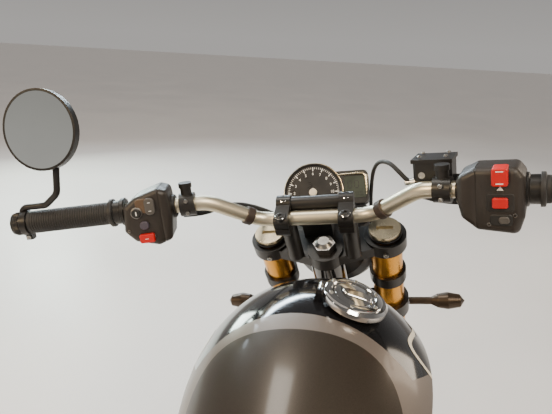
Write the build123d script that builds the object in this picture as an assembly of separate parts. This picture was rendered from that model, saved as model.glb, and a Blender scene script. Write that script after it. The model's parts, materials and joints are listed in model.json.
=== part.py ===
from build123d import *
import math
import os

# A roadster-style cafe racer motorcycle, leaning on its side stand. Millimetres.
# Each piece is drawn on the upright machine: +X right, +Y forward, +Z up, y = 0 at the
# swingarm's pivot and z = 0 on the floor. The finished pieces are then leaned to the left.
# Steering coordinates are x to the right, t forward of the steering axis and u up it from
# the floor.

# Stance: each axle's distance from the swingarm's pivot, so that the wheelbase is their sum
FRAME_REACH = 832.0
SWINGARM_REACH = 545.0
PIVOT_HEIGHT = 400.0
RAKE = 24.6
FORK_OFFSET = 29.2
LEAN = 10.5

# Clearances
FIT = 0.3
RUNNING = 0.05
SIDE_GAP = 1.0

# Tyres and rims
FRONT_RADIUS = 293.0
FRONT_WIDTH = 110.0
FRONT_CROWN = 57.0
REAR_RADIUS = 306.0
REAR_WIDTH = 150.0
REAR_CROWN = 77.0
TYRE_WALL = 12.0
TYRE_BULGE = 0.8
BEAD_HEM = 2.0
RIM_SEAT = 215.9
RIM_FLANGE = 229.0
RIM_WALL = 5.0
RIM_DROP = 17.0
WELL_SHARE = 0.45
FRONT_RIM_HALF = 38.0
REAR_RIM_HALF = 51.0
SPOKE_PAIRS = 5
SPOKE_WIDTH = 15.0
SPOKE_DEPTH = 24.0
SPOKE_ROOT = 3.0
SPOKE_SPREAD = 30.0
SPOKE_ROOT_RADIUS = 24.0
HUB_RADIUS = 34.0
HUB_FLANGE = 46.0
HUB_FLANGE_DEPTH = 7.0

# Axles
AXLE_RADIUS = 10.0
AXLE_BORE = 6.0
SPACER_WALL = 3.0
FRONT_AXLE_HALF = 122.0
REAR_AXLE_HALF = 142.0
FRONT_HUB_HALF = 56.0
REAR_HUB_HALF = 70.0

# Brakes: discs, then calipers by length, depth, width, place inward of the disc's edge and
# angle round the axle from the front
FRONT_DISC_RADIUS = 150.0
REAR_DISC_RADIUS = 115.0
DISC_BAND = 32.0
DISC_THICKNESS = 4.5
DISC_HOLES = 20
DISC_HOLE_RADIUS = 4.0
DISC_HOLE_ROWS = (9.0, 22.0)
DISC_ARMS = 5
DISC_ARM_WIDTH = 14.0
DISC_RING = 12.0
FRONT_DISC_X = -66.0
REAR_DISC_X = 84.0
DISC_GAP = 1.5
FRONT_CALIPER = (92.0, 50.0, 52.0, 8.0, 149.0)
REAR_CALIPER = (70.0, 44.0, 46.0, 6.0, 62.0)
PISTON_RADIUS = 15.0
PISTON_BOSS = 5.0
CALIPER_EDGE = 8.0
CARRIER_RADIUS = 24.0
CARRIER_THICKNESS = 8.0
CARRIER_WIDTH = 34.0

# Fork and yokes, heights in steering coordinates
FORK_SPACING = 99.0
FORK_TUBE_RADIUS = 27.0
STANCHION_RADIUS = 21.5
FORK_TUBE_LOW = 560.0
FORK_TUBE_PROUD = 4.0
DUST_SEAL = (29.0, -7.0, 15.0)
STANCHION_TOP = 150.0
LEG_SOCKET = 25.0
LEG_SOCKET_HIGH = 92.0
AXLE_CLAMP_WIDTH = 36.0
# The front caliper's lug: thickness, reach back, low and high over the axle
CALIPER_LUG = (12.0, 88.0, 82.0, 146.0)
LOW_YOKE = 778.0
LOW_YOKE_DEPTH = 34.0
TOP_YOKE = 960.0
TOP_YOKE_DEPTH = 24.0
YOKE_BOSS = 35.0
YOKE_WEB = 0.8
YOKE_NOSE = 40.0
YOKE_BACK = 26.0
YOKE_WING_BACK = 24.0
YOKE_WING_FRONT = 30.0
STEM_BOSS = 30.0
STEM_RADIUS = 15.0
STEM_NUT_RADIUS = 19.0
STEM_NUT_DEPTH = 12.0
STEM_NUT_DOME = (15.5, 9.5, 6.0)
FORK_CAP_DEPTH = 9.0
FORK_CAP_SLOT = 8.0
HEAD_TUBE_RADIUS = 29.0
HEAD_TUBE_GAP = 0.5

# Handlebar: half of its centre line as x, t, u
BAR_RADIUS = 11.1
BAR_CENTRE = (85.0, -22.7, 1078.3)
BAR_BEND = (150.0, -40.8, 1137.2)
BAR_END = (397.0, -107.0, 1175.2)
BAR_BEND_RADIUS = 50.0
CLAMP_X = 48.0
CLAMP_WIDTH = 22.0
CLAMP_DEPTH = 52.0
CLAMP_HEIGHT = 36.0
CLAMP_EDGE = 9.0
CLAMP_POST = 13.0
CLAMP_BRIDGE_RADIUS = 14.0
CLAMP_SPLIT = 2.0
CLAMP_SPLIT_DEPTH = 8.0
BRIDGE_RADIUS = 11.0
BRIDGE_PLACE = (22.0, 10.0)
GRIP_RADIUS = 16.5
GRIP_LENGTH = 122.0
GRIP_COLLAR = 4.0
GRIP_COLLAR_DEPTH = 5.0
BAR_PLUG = 22.0
BAR_PLUG_RADIUS = 15.5

# Controls, by distance out along the bar from its bend
PERCH = 18.0
PERCH_WIDTH = 22.0
PERCH_RADIUS = 17.0
MIRROR_BOSS = (8.0, 26.0)
MIRROR_PLUG = (9.5, 7.0)
LEVER_PIVOT = (46.0, -14.0, 36.0)
LEVER_PIVOT_RADIUS = 10.0
LEVER_PIVOT_DEPTH = 18.0
# Lever blade as forward, up and out, then its radius and ball
LEVER_BLADE = ((50.0, -15.0, 40.0), (66.0, -19.0, 84.0), (63.0, -22.0, 160.0), (72.0, -21.0, 226.0))
LEVER_BENDS = (40.0, 90.0)
LEVER_RADIUS = 7.0
LEVER_BALL = 9.0
RESERVOIR_PLACE = (42.0, 19.0, 11.0)
RESERVOIR_SIZE = (40.0, 26.0, 50.0)
RESERVOIR_LID = 5.0
RESERVOIR_LIP = 3.0
RESERVOIR_EDGE = 4.0
MASTER_RADIUS = 11.0
# Switch housings seen from the saddle: distance out along the bar and height over it
RIGHT_SWITCH = ((49.0, -6.0), (51.0, 24.0), (70.0, 33.0), (114.0, 33.0), (122.0, 22.0), (122.0, -26.0),
                (116.0, -47.0), (72.0, -43.0), (54.0, -28.0))
LEFT_SWITCH = ((49.0, -6.0), (52.0, 30.0), (66.0, 35.0), (98.0, 25.0), (116.0, 12.0), (120.0, -24.0),
               (106.0, -40.0), (74.0, -49.0), (54.0, -42.0))
SWITCH_CORNER = 7.0
SWITCH_FRONT = 21.0
SWITCH_BACK = 31.0
SWITCH_EDGE = 6.0
# Buttons on the housings: distance out, height, width, height and how proud they stand
RIGHT_BUTTONS = ((97.0, 20.0, 16.0, 20.0, 5.0), (97.0, -17.0, 15.0, 12.0, 3.0))
LEFT_BUTTONS = ((104.0, -4.0, 13.0, 13.0, 3.0), (84.0, 4.0, 18.0, 24.0, 3.0), (92.0, -26.0, 11.0, 10.0, 3.0))

# Bar-end mirrors: stem points and disc centre as shifts from the bar's end, x outward
MIRROR_STEM = ((8.0, 0.0, 23.0), (-32.0, 2.0, 24.0), (-57.0, 1.0, 40.0), (-66.0, 9.0, 96.0))
MIRROR_STEM_BENDS = (10.0, 16.0, 14.0)
MIRROR_STEM_RADIUS = 4.5
MIRROR_PLACE = (-53.0, 7.0, 129.0)
MIRROR_FACING = (0.06, 0.985, -0.16)
MIRROR_RADIUS = 55.5
MIRROR_DEPTH = 14.0
MIRROR_LIP = 3.0
MIRROR_DOME = 12.0

# Instrument, placed by the centre of its dial as x, t, u
DIAL_CENTRE = (-15.0, 64.6, 1052.7)
DIAL_TILT = 37.4
DIAL_RADIUS = 51.0
DIAL_BEZEL = 4.0
DIAL_DEPTH = 26.0
DIAL_BACK = 41.0
WING_PLACE = (62.0, 6.0)
WING_SIZE = (60.0, 56.0)
WING_CORNER = 9.0
DISPLAY_PLACE = (70.5, 6.0)
DISPLAY_SIZE = (36.0, 38.0)
GLASS_THICKNESS = 2.0
BRACKET_X = (-38.0, 12.0)
BRACKET_FRONT = 58.0
BRACKET_HEIGHT = 34.0

# Headlamp, forward of the steering axis and midway between the yokes
LAMP_FORWARD = 112.0
LAMP_DIP = 6.8
LAMP_RADIUS = 88.0
LAMP_BEZEL = 8.0
LAMP_BEZEL_DEPTH = 14.0
LAMP_SEAT = 12.0
# Bowl from its back: share of the radius and place along the beam
LAMP_BOWL = ((0.0, -62.0), (0.4, -58.0), (0.72, -42.0), (0.92, -16.0), (1.0, 8.0))
LENS_EDGE = 18.0
LENS_MID = (52.0, 28.0)
LENS_TIP = 33.0
LAMP_CLAMP = 5.0
LAMP_CLAMP_HALF = 12.0
LAMP_ARM = 7.0
LAMP_ARM_HALF = 10.0

# Indicators: radius and place along the stalk, beyond the stalk's own length
INDICATOR = ((7.0, 0.0), (13.0, 12.0), (16.0, 30.0), (12.0, 52.0), (0.0, 60.0))
FRONT_STALK = 40.0
REAR_STALK = 32.0

# Front mudguard, round the tyre
GUARD_SIDE = 11.0
GUARD_LOW = -8.0
GUARD_HIGH = 15.0
GUARD_SHOULDER = 4.0
GUARD_WALL = 3.0
GUARD_BOW = 0.75
GUARD_START = 38.0
GUARD_SWEEP = 122.0
GUARD_STAY = 4.0
GUARD_STAY_OUT = (79.0, 112.0)
GUARD_STAY_HEIGHTS = (50.0, 190.0, 205.0)

# Frame tubes, from the head back, as x, y, z; the head's end is in steering coordinates
SPAR_RADIUS = 17.0
SPAR_HEAD = (23.0, -9.4, 862.2)
SPAR = ((80.0, 440.0, 714.0), (100.0, 245.0, 662.0), (104.0, 95.0, 560.0), (114.0, 45.0, 470.0))
SPAR_BENDS = (60.0, 160.0, 60.0)
DOWN_TUBE_RADIUS = 15.0
DOWN_HEAD = (20.0, -13.8, 886.2)
DOWN_TUBE = ((46.0, 507.0, 640.0), (66.0, 367.0, 432.0))
DOWN_BEND = 120.0
RAIL_RADIUS = 12.5
RAIL_ROOT = (101.0, 190.0, 634.0)
RAIL_FRONT_HEIGHT = 712.0
RAIL_SLOPE = 0.1065
# Half width and y of the rear rails at their front, bend and tail
RAIL_PLAN = ((104.0, 15.0), (98.0, -245.0), (60.0, -605.0))
RAIL_BENDS = (60.0, 200.0)
STAY_RADIUS = 10.5
STAY = ((112.0, 15.0, 520.0), (102.0, -105.0, 620.0))
STAY_TOP = (96.0, -283.0)
STAY_BEND = 150.0
TAIL_CROSS_Y = -603.0
TAIL_CROSS_RADIUS = 10.5
PIVOT_PLATE = 12.0
# Outline of a pivot plate as y, z
PLATE_OUTLINE = ((-39.0, 372.0), (-16.0, 312.0), (15.0, 278.0), (75.0, 278.0), (79.0, 480.0), (61.0, 556.0),
                 (15.0, 562.0), (-25.0, 450.0))
PLATE_WINDOW = ((18.0, 452.0), (56.0, 452.0), (46.0, 530.0), (22.0, 530.0))
ENGINE_MOUNTS = ((57.0, 472.0), (57.0, 302.0))
ENGINE_MOUNT_RADIUS = 11.0
SHOCK_CROSS_Y = 89.0
SHOCK_CROSS_DROP = 30.0
SHOCK_CROSS_RADIUS = 13.0
TANK_POST_X = 70.0
TANK_POST_RADIUS = 9.0
STAND_LUG_Y = (29.0, 67.0)
STAND_LUG_Z = (206.0, 290.0)
STAND_LUG_RADIUS = 18.0
STAND_LUG_LENGTH = 28.0

# Swingarm, its arms from the pivot back: y from the pivot or z from the axle, as named
PIVOT_TUBE_RADIUS = 23.0
PIVOT_PIN_RADIUS = 9.0
PIVOT_HALF = 107.0
# Near the pivot: y, inner and outer x, low and high z
ARM_FRONT = ((3.0, 82.0, 104.0, 380.0, 420.0), (-49.0, 82.0, 104.0, 372.0, 414.0))
# Near the axle: distance forward of it, inner and outer x, low and high over it
ARM_REAR = (
    (300.0, 104.0, 128.0, 23.0, 77.0),
    (60.0, 108.0, 132.0, -23.0, 27.0),
    (-50.0, 108.0, 132.0, -17.0, 17.0),
)
ARM_EDGE = 6.0
ARM_BRACE = ((-173.0, -133.0), (352.0, 394.0))
ARM_BRACE_HALF = 104.0

# Shock absorber: its pins as y, z, then shares of its length
SHOCK_TOP = (47.0, 668.0)
SHOCK_LOW = (-115.0, 452.0)
SHOCK_EYE = 28.0
SHOCK_EYE_RADIUS = 15.0
SHOCK_PIN = 6.0
SHOCK_ROD = 9.0
SHOCK_BODY = 22.0
SHOCK_BODY_SPAN = (0.45, 0.88)
SHOCK_CUP = 34.0
SHOCK_CUP_DEPTH = 6.0
SHOCK_CUPS = (0.14, 0.84)
SPRING_RADIUS = 32.0
SPRING_WIRE = 5.0
SPRING_TURNS = 6
EAR_THICKNESS = 7.0
LOW_EAR = ((-169.0, 380.0), (-133.0, 380.0), (-99.0, 440.0), (-105.0, 466.0), (-125.0, 466.0),
           (-169.0, 400.0))
# Corners of the shock's upper ears: at the cross tube, then round the pin
TOP_EAR_ROOT = (10.0, 12.0)
TOP_EAR_TIP = (12.0, 12.0, 14.0)

# Engine: crankcase outline as y, z
CASE_HALF = 84.0
CRANK = (207.0, 362.0)
CYLINDER_TILT = 10.0
DECK = 138.0
CASE_FRONT = ((55.0, 322.0), (97.0, 232.0), (155.0, 206.0), (285.0, 214.0), (333.0, 270.0), (351.0, 380.0),
              (351.0, 452.0))
CASE_BACK = ((95.0, 492.0), (41.0, 470.0), (35.0, 400.0))
# Round covers: side, y, z, then radius and reach of each step
COVERS = (
    (1, 193.0, 350.0, ((92.0, 14.0), (80.0, 26.0), (62.0, 34.0))),
    (1, 267.0, 296.0, ((36.0, 26.0), (24.0, 40.0))),
    (-1, 207.0, 362.0, ((72.0, 18.0), (58.0, 28.0))),
    (-1, 300.0, 300.0, ((26.0, 12.0),)),
)
COVER_ROOT = 0.9
CYLINDER_HALF = 62.0
CYLINDER_CORNER = 16.0
CYLINDER_HEIGHT = 168.0
FIN_OUT = 14.0
FIN_CORNER = 22.0
FIN_THICKNESS = 3.5
FIN_PITCH = 11.0
FIN_START = 8.0
FINS = 9
HEAD_RISE = 110.0
HEAD_HEIGHT = 46.0
HEAD_GROW = (4.0, 11.0)
CAM_COVER = (112.0, 150.0, 44.0)
CAM_COVER_RISE = 160.0
CAM_COVER_CORNER = 20.0
CAM_COVER_EDGE = 7.0
SPARK_WELL = 15.0
PORT_X = 18.0
PORT_RISE = 133.0

# Airbox between the spars, with its throttle body from the head's back
AIRBOX_HALF = 54.0
AIRBOX = ((110.0, 690.0), (150.0, 684.0), (172.0, 700.0), (178.0, 740.0), (110.0, 740.0))
THROTTLE_RADIUS = 20.0
THROTTLE_OUT = 42.0
THROTTLE_BEND = 26.0
THROTTLE_END = (134.0, 700.0)

# Radiator, its place down the down tubes as a share of them
RADIATOR_SHARE = 0.26
CORE_SIZE = (250.0, 160.0, 26.0)
CORE_SLOTS = 15
CORE_SLOT = (5.0, 4.0)
SIDE_TANK = (22.0, 168.0, 34.0)
RADIATOR_FOOT = (12.0, 40.0)
RADIATOR_FOOT_X = 51.0
RADIATOR_STANDOFF = 10.0
FOOT_SUNK = 5.0
RADIATOR_CAP = (15.0, 12.0)

# Exhaust: the header from the port on, as x, y, z, and the silencer's two ends
HEADER_RADIUS = 19.0
HEADER_OUT = 71.0
HEADER = ((28.0, 407.0, 460.0), (56.0, 390.0, 300.0), (98.0, 305.0, 204.0), (116.0, 195.0, 194.0),
          (118.0, 55.0, 216.0), (150.0, -65.0, 250.0), (176.0, -145.0, 272.0))
HEADER_BENDS = (34.0, 200.0, 90.0, 80.0, 200.0, 120.0, 150.0)
SILENCER_START = (170.0, -127.0, 270.0)
SILENCER_END = (178.0, -427.0, 330.0)
SILENCER_RADIUS = 40.0
SILENCER_NECK = 24.0
SILENCER_TAPER = 60.0
SILENCER_CAP = (34.0, 22.0)
SILENCER_OUTLET = (17.0, 30.0)
SILENCER_BANDS = (70.0, 262.0)
SILENCER_BAND = (42.0, 10.0)

# Tank: y, half width, top, widest height, bottom, half width at the bottom
TANK_SECTIONS = (
    (20.0, 70.0, 812.0, 780.0, 740.0, 52.0),
    (105.0, 106.0, 862.0, 800.0, 736.0, 78.0),
    (215.0, 140.0, 905.0, 822.0, 732.0, 112.0),
    (315.0, 147.0, 922.0, 836.0, 736.0, 122.0),
    (398.0, 122.0, 903.0, 838.0, 750.0, 98.0),
    (461.0, 66.0, 862.0, 828.0, 786.0, 46.0),
)
TANK_FLOOR = 746.0

# Filler: x and y on the tank, then its neck, lid and hinge
FILLER = (63.0, 313.0)
LID_RADIUS = 39.0
LID_THICKNESS = 9.0
LID_STEP = 28.0
LID_EDGE = 3.0
NECK_RADIUS = 30.0
NECK_BORE = 21.0
NECK_DEEP = 70.0
NECK_ROOT = 30.0
LID_SEAT = 4.3
HINGE_RADIUS = 3.6
HINGE_PIN = 1.8
HINGE_OUT = 4.5
KNUCKLE_HALF = 6.0
HINGE_EAR = 4.0
HINGE_ROOT = 10.0

# Seat: y, half width, top, bottom
SEAT_SECTIONS = (
    (15.0, 62.0, 801.0, 700.0),
    (-75.0, 106.0, 790.0, 700.0),
    (-185.0, 131.0, 793.0, 710.0),
    (-285.0, 128.0, 810.0, 720.0),
    (-355.0, 118.0, 838.0, 726.0),
    (-500.0, 102.0, 848.0, 744.0),
    (-630.0, 76.0, 848.0, 760.0),
)
SEAT_CROWN = 30.0
SEAT_TUCK = 0.92
# Side cover outline as y, z
SIDE_COVER = ((59.0, 690.0), (15.0, 590.0), (-75.0, 600.0), (-200.0, 700.0), (-193.0, 716.0), (45.0, 704.0))
SIDE_COVER_WALL = 7.7

# Tail: the hanger's outline below the rails as y and height over the rail's centre or z
HANGER_HALF = 42.0
HANGER_TOP = ((-505.0, -20.0), (-505.0, 8.0), (-655.0, 8.0))
HANGER_LOW = ((-697.0, 778.0), (-885.0, 566.0), (-931.0, 424.0), (-921.0, 420.0), (-871.0, 548.0),
              (-695.0, 728.0), (-645.0, 742.0))
TAIL_LAMP_HALF = 48.0
TAIL_LAMP_Y = (-695.0, -637.0)
TAIL_LAMP_HEIGHT = 26.0
TAIL_LAMP_EDGE = 8.0
REAR_INDICATOR = (-845.0, 590.0)

# Foot controls: outlines and points as y, z
REST_BRACKET = ((-5.0, 440.0), (15.0, 400.0), (-25.0, 350.0), (-75.0, 318.0), (-105.0, 322.0), (-99.0, 350.0),
                (-45.0, 400.0))
REST_PLATE = 8.0
REST = (-87.0, 336.0)
REST_LENGTH = 100.0
REST_RADIUS = 12.0
PILLION_PLATE = 6.0
PILLION_OUT = 6.0
PILLION_OUTER = ((-215.0, 5.0), (-365.0, 5.0))
PILLION_FOOT = ((-313.0, 440.0), (-277.0, 440.0))
PILLION_WINDOW = ((-249.0, 706.0), (-339.0, 718.0), (-305.0, 520.0), (-287.0, 520.0))
PILLION_BOSSES = (-231.0, -341.0)
PILLION_BOSS_RADIUS = 7.0
PILLION = (-295.0, 452.0)
PILLION_LENGTH = 89.0
PILLION_RADIUS = 11.0
# Pedals: distance out from the bracket, y, z
PEDAL = ((14.0, -65.0, 322.0), (18.0, 15.0, 306.0), (20.0, 61.0, 290.0))
PEDAL_BEND = 80.0
PEDAL_RADIUS = 6.0
PEDAL_TIP = (59.0, 290.0)
PEDAL_TIP_REACH = (16.0, 58.0)
PEDAL_PIVOT = (-61.0, 322.0)
PEDAL_PAD = 9.0

# Chain drive
CHAIN_X = -96.0
CHAIN_PITCH = 15.875
CHAIN_PLATE = 3.0
CHAIN_PLATE_HALF = 7.2
CHAIN_WAIST = 5.4
CHAIN_PIN = 4.0
SPROCKET_THICKNESS = 6.0
REAR_TEETH = 43
FRONT_TEETH = 15
TOOTH_CUT = 5.4
TOOTH_TIP = 3.5
TOOTH_ROOT = 2.5
SPROCKET_WINDOWS = 6
SPROCKET_WINDOW = (62.0, 19.0)
SPROCKET_BOSS = 22.0
FRONT_SPROCKET = (73.0, 402.0)
SPROCKET_SHAFT = 14.0
# Pins start this far along a straight run from where it leaves each sprocket
REAR_PINS = 110.0
FRONT_PINS = 47.0

# Side stand: its pivot, its foot on the floor and where that foot goes when it is folded
STAND_PIVOT = (-134.0, 47.0, 226.0)
STAND_FOOT = (-240.0, 110.0)
STAND_FOLDED = (-172.0, -169.0, 204.0)
STAND_RADIUS = 11.0
STAND_EYE = 14.0
STAND_EYE_RADIUS = 16.0
STAND_PAD = (46.0, 66.0, 8.0)
STAND_PAD_CORNER = 14.0

# Hoses: radius, then points as x, t, u
BRAKE_HOSE_RADIUS = 3.2
BRAKE_HOSE = ((126.0, 4.0, 1136.0), (112.0, 28.0, 1134.0), (96.0, 54.0, 1116.0), (86.0, 74.0, 1082.0),
              (80.0, 82.0, 1038.0), (76.0, 80.0, 988.0), (75.0, 76.0, 932.0), (75.0, 74.0, 874.0),
              (74.0, 73.0, 816.0), (68.0, 70.0, 764.0), (48.0, 58.0, 722.0), (16.0, 40.0, 698.0),
              (-22.0, 20.0, 684.0), (-60.0, -4.0, 662.0), (-84.0, -26.0, 622.0), (-93.0, -42.0, 572.0),
              (-94.0, -52.0, 522.0), (-92.0, -60.0, 480.0))
LOOM_RADIUS = 4.5
LEFT_LOOM = ((-199.0, -38.0, 1112.0), (-177.0, -24.0, 1099.0), (-154.0, -2.0, 1092.0), (-136.0, 24.0, 1072.0),
             (-125.0, 50.0, 1042.0), (-115.0, 74.0, 1010.0), (-98.0, 91.0, 978.0), (-77.6, 102.1, 952.9),
             (-60.4, 108.1, 935.8))
RIGHT_LOOM = ((199.0, -38.0, 1110.0), (177.0, -22.0, 1099.0), (158.0, 4.0, 1086.0), (145.0, 32.0, 1062.0),
              (132.0, 56.0, 1030.0), (118.0, 78.0, 1000.0), (98.0, 92.0, 975.0), (77.6, 102.1, 952.9),
              (60.4, 108.1, 935.8))

rake = math.radians(RAKE)
lean = math.radians(LEAN)
REAR_AXLE_Y = -SWINGARM_REACH
PIVOT = (0.0, PIVOT_HEIGHT)
# Past every piece, for cuts
FAR = 2 * FRAME_REACH
UP_FROM = (Align.CENTER, Align.CENTER, Align.MIN)


def axle_height(radius, crown):
    """Height of an upright axle so that its tyre touches the floor once it leans."""
    return radius - crown + crown / math.cos(lean)


FRONT_AXLE_Z = axle_height(FRONT_RADIUS, FRONT_CROWN)
REAR_AXLE_Z = axle_height(REAR_RADIUS, REAR_CROWN)
AXIS_FOOT_Y = FRAME_REACH + (FRONT_AXLE_Z * math.sin(rake) - FORK_OFFSET) / math.cos(rake)
AXLE_UP = FRONT_AXLE_Z * math.cos(rake) + (AXIS_FOOT_Y - FRAME_REACH) * math.sin(rake)

# The steering axis: local x is right, local y forward of it, local z up it
STEER = Plane(origin=(0, AXIS_FOOT_Y, 0), x_dir=(1, 0, 0), z_dir=(0, -math.sin(rake), math.cos(rake)))
FRONT_HUB = Plane(origin=(0, FRAME_REACH, FRONT_AXLE_Z), x_dir=(0, 1, 0), z_dir=(1, 0, 0))
REAR_HUB = Plane(origin=(0, REAR_AXLE_Y, REAR_AXLE_Z), x_dir=(0, 1, 0), z_dir=(1, 0, 0))

# Controls on the right half of the bar: local x forward, y up, z outward along the bar
bar_bend = STEER.from_local_coords(Vector(*BAR_BEND))
bar_end = STEER.from_local_coords(Vector(*BAR_END))
bar_out = (bar_end - bar_bend).normalized()
BAR_REACH = (bar_end - bar_bend).length
CONTROLS = Plane(origin=bar_bend, x_dir=(-bar_out.Y, bar_out.X, 0), z_dir=bar_out)

# The stand turns about one axis that takes its foot from the floor to the folded place
plate_out = PIVOT_HALF + SIDE_GAP + PIVOT_PLATE
stand_pivot = Vector(*STAND_PIVOT)
stand_ground = Vector(*STAND_FOOT, -STAND_FOOT[0] * math.tan(lean))
down_way = (stand_ground - stand_pivot).normalized()
folded_way = (Vector(*STAND_FOLDED) - stand_pivot).normalized()
between = (down_way - folded_way).normalized()
stand_turn = (Vector(-1, 0, 0) + between * between.X).normalized()
flat_down = down_way - stand_turn * down_way.dot(stand_turn)
flat_folded = folded_way - stand_turn * folded_way.dot(stand_turn)
STAND_FOLD = flat_down.get_angle(flat_folded)
print("side stand folds by", round(STAND_FOLD, 1), "degrees")

nodes = {}


def keep(name, *shapes):
    """Files the solids of one node under its name."""
    found = []
    for shape in shapes:
        found.extend(shape.solids())
    nodes[name] = found


def rod(start, end, radius):
    """A round bar between two points."""
    a, b = Vector(*start), Vector(*end)
    return Plane(origin=a, z_dir=b - a) * Cylinder(radius, (b - a).length, align=UP_FROM)


def bent(points, bends, radius):
    """A round bar along straight runs joined by tangent arcs."""
    path = FilletPolyline(*points, radius=list(bends))
    return sweep(Plane(origin=path @ 0, z_dir=path % 0) * Circle(radius), path=path)


def hose(points, radius):
    """A limp tube whose arcs are as large as the runs beside them allow."""
    route = [Vector(*point) for point in points]
    bends = []
    for before, corner, after in zip(route, route[1:], route[2:]):
        run_in, run_out = corner - before, after - corner
        turn = math.radians(run_in.get_angle(run_out))
        bends.append(0.45 * min(run_in.length, run_out.length) / math.tan(turn / 2))
    print("hose bends", [round(bend) for bend in bends])
    return bent(points, bends, radius)


def block(x, y, z):
    """A box from its low and high value along each axis."""
    size = [high - low for low, high in (x, y, z)]
    middle = [(low + high) / 2 for low, high in (x, y, z)]
    return Pos(*middle) * Box(*size)


def side_plate(outline, x_low, x_high):
    """A plate whose outline is drawn in y and z, from x_low to x_high."""
    face = make_face(Polyline(*[(y, z) for y, z in outline], close=True))
    return extrude(Plane(origin=(x_low, 0, 0), x_dir=(0, 1, 0), z_dir=(1, 0, 0)) * face, x_high - x_low)


def turned(outline):
    """A solid of revolution about local z, from points of radius and height."""
    face = make_face(Polyline(*[(r, 0, z) for r, z in outline], close=True))
    return revolve(face, Axis.Z)


def ring(outer, inner, low, high):
    """A flat ring about local z."""
    return turned([(inner, low), (outer, low), (outer, high), (inner, high)])


def both_sides(shape):
    """A piece and its mirror image across the machine."""
    return shape, mirror(shape, Plane.YZ)


def rail_height(y):
    """Height of the centre of the rear rails, which rise to the tail."""
    return RAIL_FRONT_HEIGHT + (RAIL_PLAN[0][1] - y) * RAIL_SLOPE


def rail_x(y):
    """Half the distance between the rear rails at y."""
    (wide, front), (mid, middle), (narrow, rear) = RAIL_PLAN
    if y > middle:
        return mid + (wide - mid) * (y - middle) / (front - middle)
    return mid + (narrow - mid) * (middle - y) / (middle - rear)


def wheel_rim(half, hub_half):
    """A cast rim with paired spokes, about local z."""
    drop, wall, lip = RIM_SEAT - RIM_DROP, RIM_WALL, half + RIM_WALL
    well = half * WELL_SHARE
    outline = [(RIM_SEAT, -half), (RIM_FLANGE, -half), (RIM_FLANGE, -lip), (RIM_SEAT - wall, -lip)]
    outline += [(drop - wall, -well), (drop - wall, well), (RIM_SEAT - wall, lip), (RIM_FLANGE, lip)]
    outline += [(RIM_FLANGE, half), (RIM_SEAT, half), (drop, well), (drop, -well)]
    body = turned(outline) + Cylinder(HUB_RADIUS, 2 * hub_half)
    for side in (-1, 1):
        body += Pos(0, 0, side * (hub_half - HUB_FLANGE_DEPTH / 2)) * Cylinder(HUB_FLANGE, HUB_FLANGE_DEPTH)
    inner, outer = SPOKE_ROOT_RADIUS, drop - wall / 2
    for pair in range(SPOKE_PAIRS):
        for lead in (-1, 1):
            near = ((inner, SPOKE_ROOT * lead), (outer, SPOKE_SPREAD * lead))
            far = ((outer, (SPOKE_SPREAD + SPOKE_WIDTH) * lead), (inner, (SPOKE_ROOT + SPOKE_WIDTH) * lead))
            leg = Polyline(*near, *far, close=True)
            spoke = Pos(0, 0, -SPOKE_DEPTH / 2) * extrude(make_face(leg), SPOKE_DEPTH)
            body += Rot(0, 0, 360 / SPOKE_PAIRS * pair) * spoke
    return body - Cylinder(AXLE_RADIUS + RUNNING, 3 * hub_half)


def tyre(radius, width, crown, rim_half):
    """A tyre about local z: round crown, sidewalls, beads inside the rim's flanges."""
    edge = rim_half - FIT
    seat = RIM_SEAT + FIT
    half = width / 2
    lip = rim_half + RIM_WALL + SIDE_GAP
    shoulder = radius - crown + math.sqrt(crown**2 - half**2)
    waist, hem = RIM_FLANGE + BEAD_HEM / 2, RIM_FLANGE + BEAD_HEM
    wall = ((shoulder + hem) / 2 - BEAD_HEM, lip + (half - lip) * TYRE_BULGE)
    outer = [
        ThreePointArc((shoulder, 0, -half), (radius, 0, 0), (shoulder, 0, half)),
        ThreePointArc((shoulder, 0, half), (wall[0], 0, wall[1]), (hem, 0, lip)),
        Line((hem, 0, lip), (waist, 0, edge)),
        Line((waist, 0, edge), (seat, 0, edge)),
        Line((seat, 0, edge), (seat, 0, edge - TYRE_WALL)),
        ThreePointArc((seat, 0, edge - TYRE_WALL), (radius - TYRE_WALL, 0, 0), (seat, 0, TYRE_WALL - edge)),
        Line((seat, 0, TYRE_WALL - edge), (seat, 0, -edge)),
        Line((seat, 0, -edge), (waist, 0, -edge)),
        Line((waist, 0, -edge), (hem, 0, -lip)),
        ThreePointArc((hem, 0, -lip), (wall[0], 0, -wall[1]), (shoulder, 0, -half)),
    ]
    return revolve(make_face(outer), Axis.Z)


def brake_disc(radius, carrier, thickness):
    """A floating brake disc with round holes and an armed carrier, about local z."""
    half = thickness / 2
    disc = ring(radius, radius - DISC_BAND, -half, half)
    for hole in range(DISC_HOLES):
        reach = radius - DISC_HOLE_ROWS[hole % 2]
        drill = Pos(reach, 0, 0) * Cylinder(DISC_HOLE_RADIUS, 2 * thickness)
        disc -= Rot(0, 0, 360 / DISC_HOLES * hole) * drill
    disc += ring(carrier + DISC_RING, carrier, -half, half)
    span = radius - DISC_BAND - carrier
    spoke = Pos(carrier + span / 2 + half, 0, 0) * Box(span, DISC_ARM_WIDTH, thickness)
    for arm in range(DISC_ARMS):
        disc += Rot(0, 0, 360 / DISC_ARMS * arm) * spoke
    return disc


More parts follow.
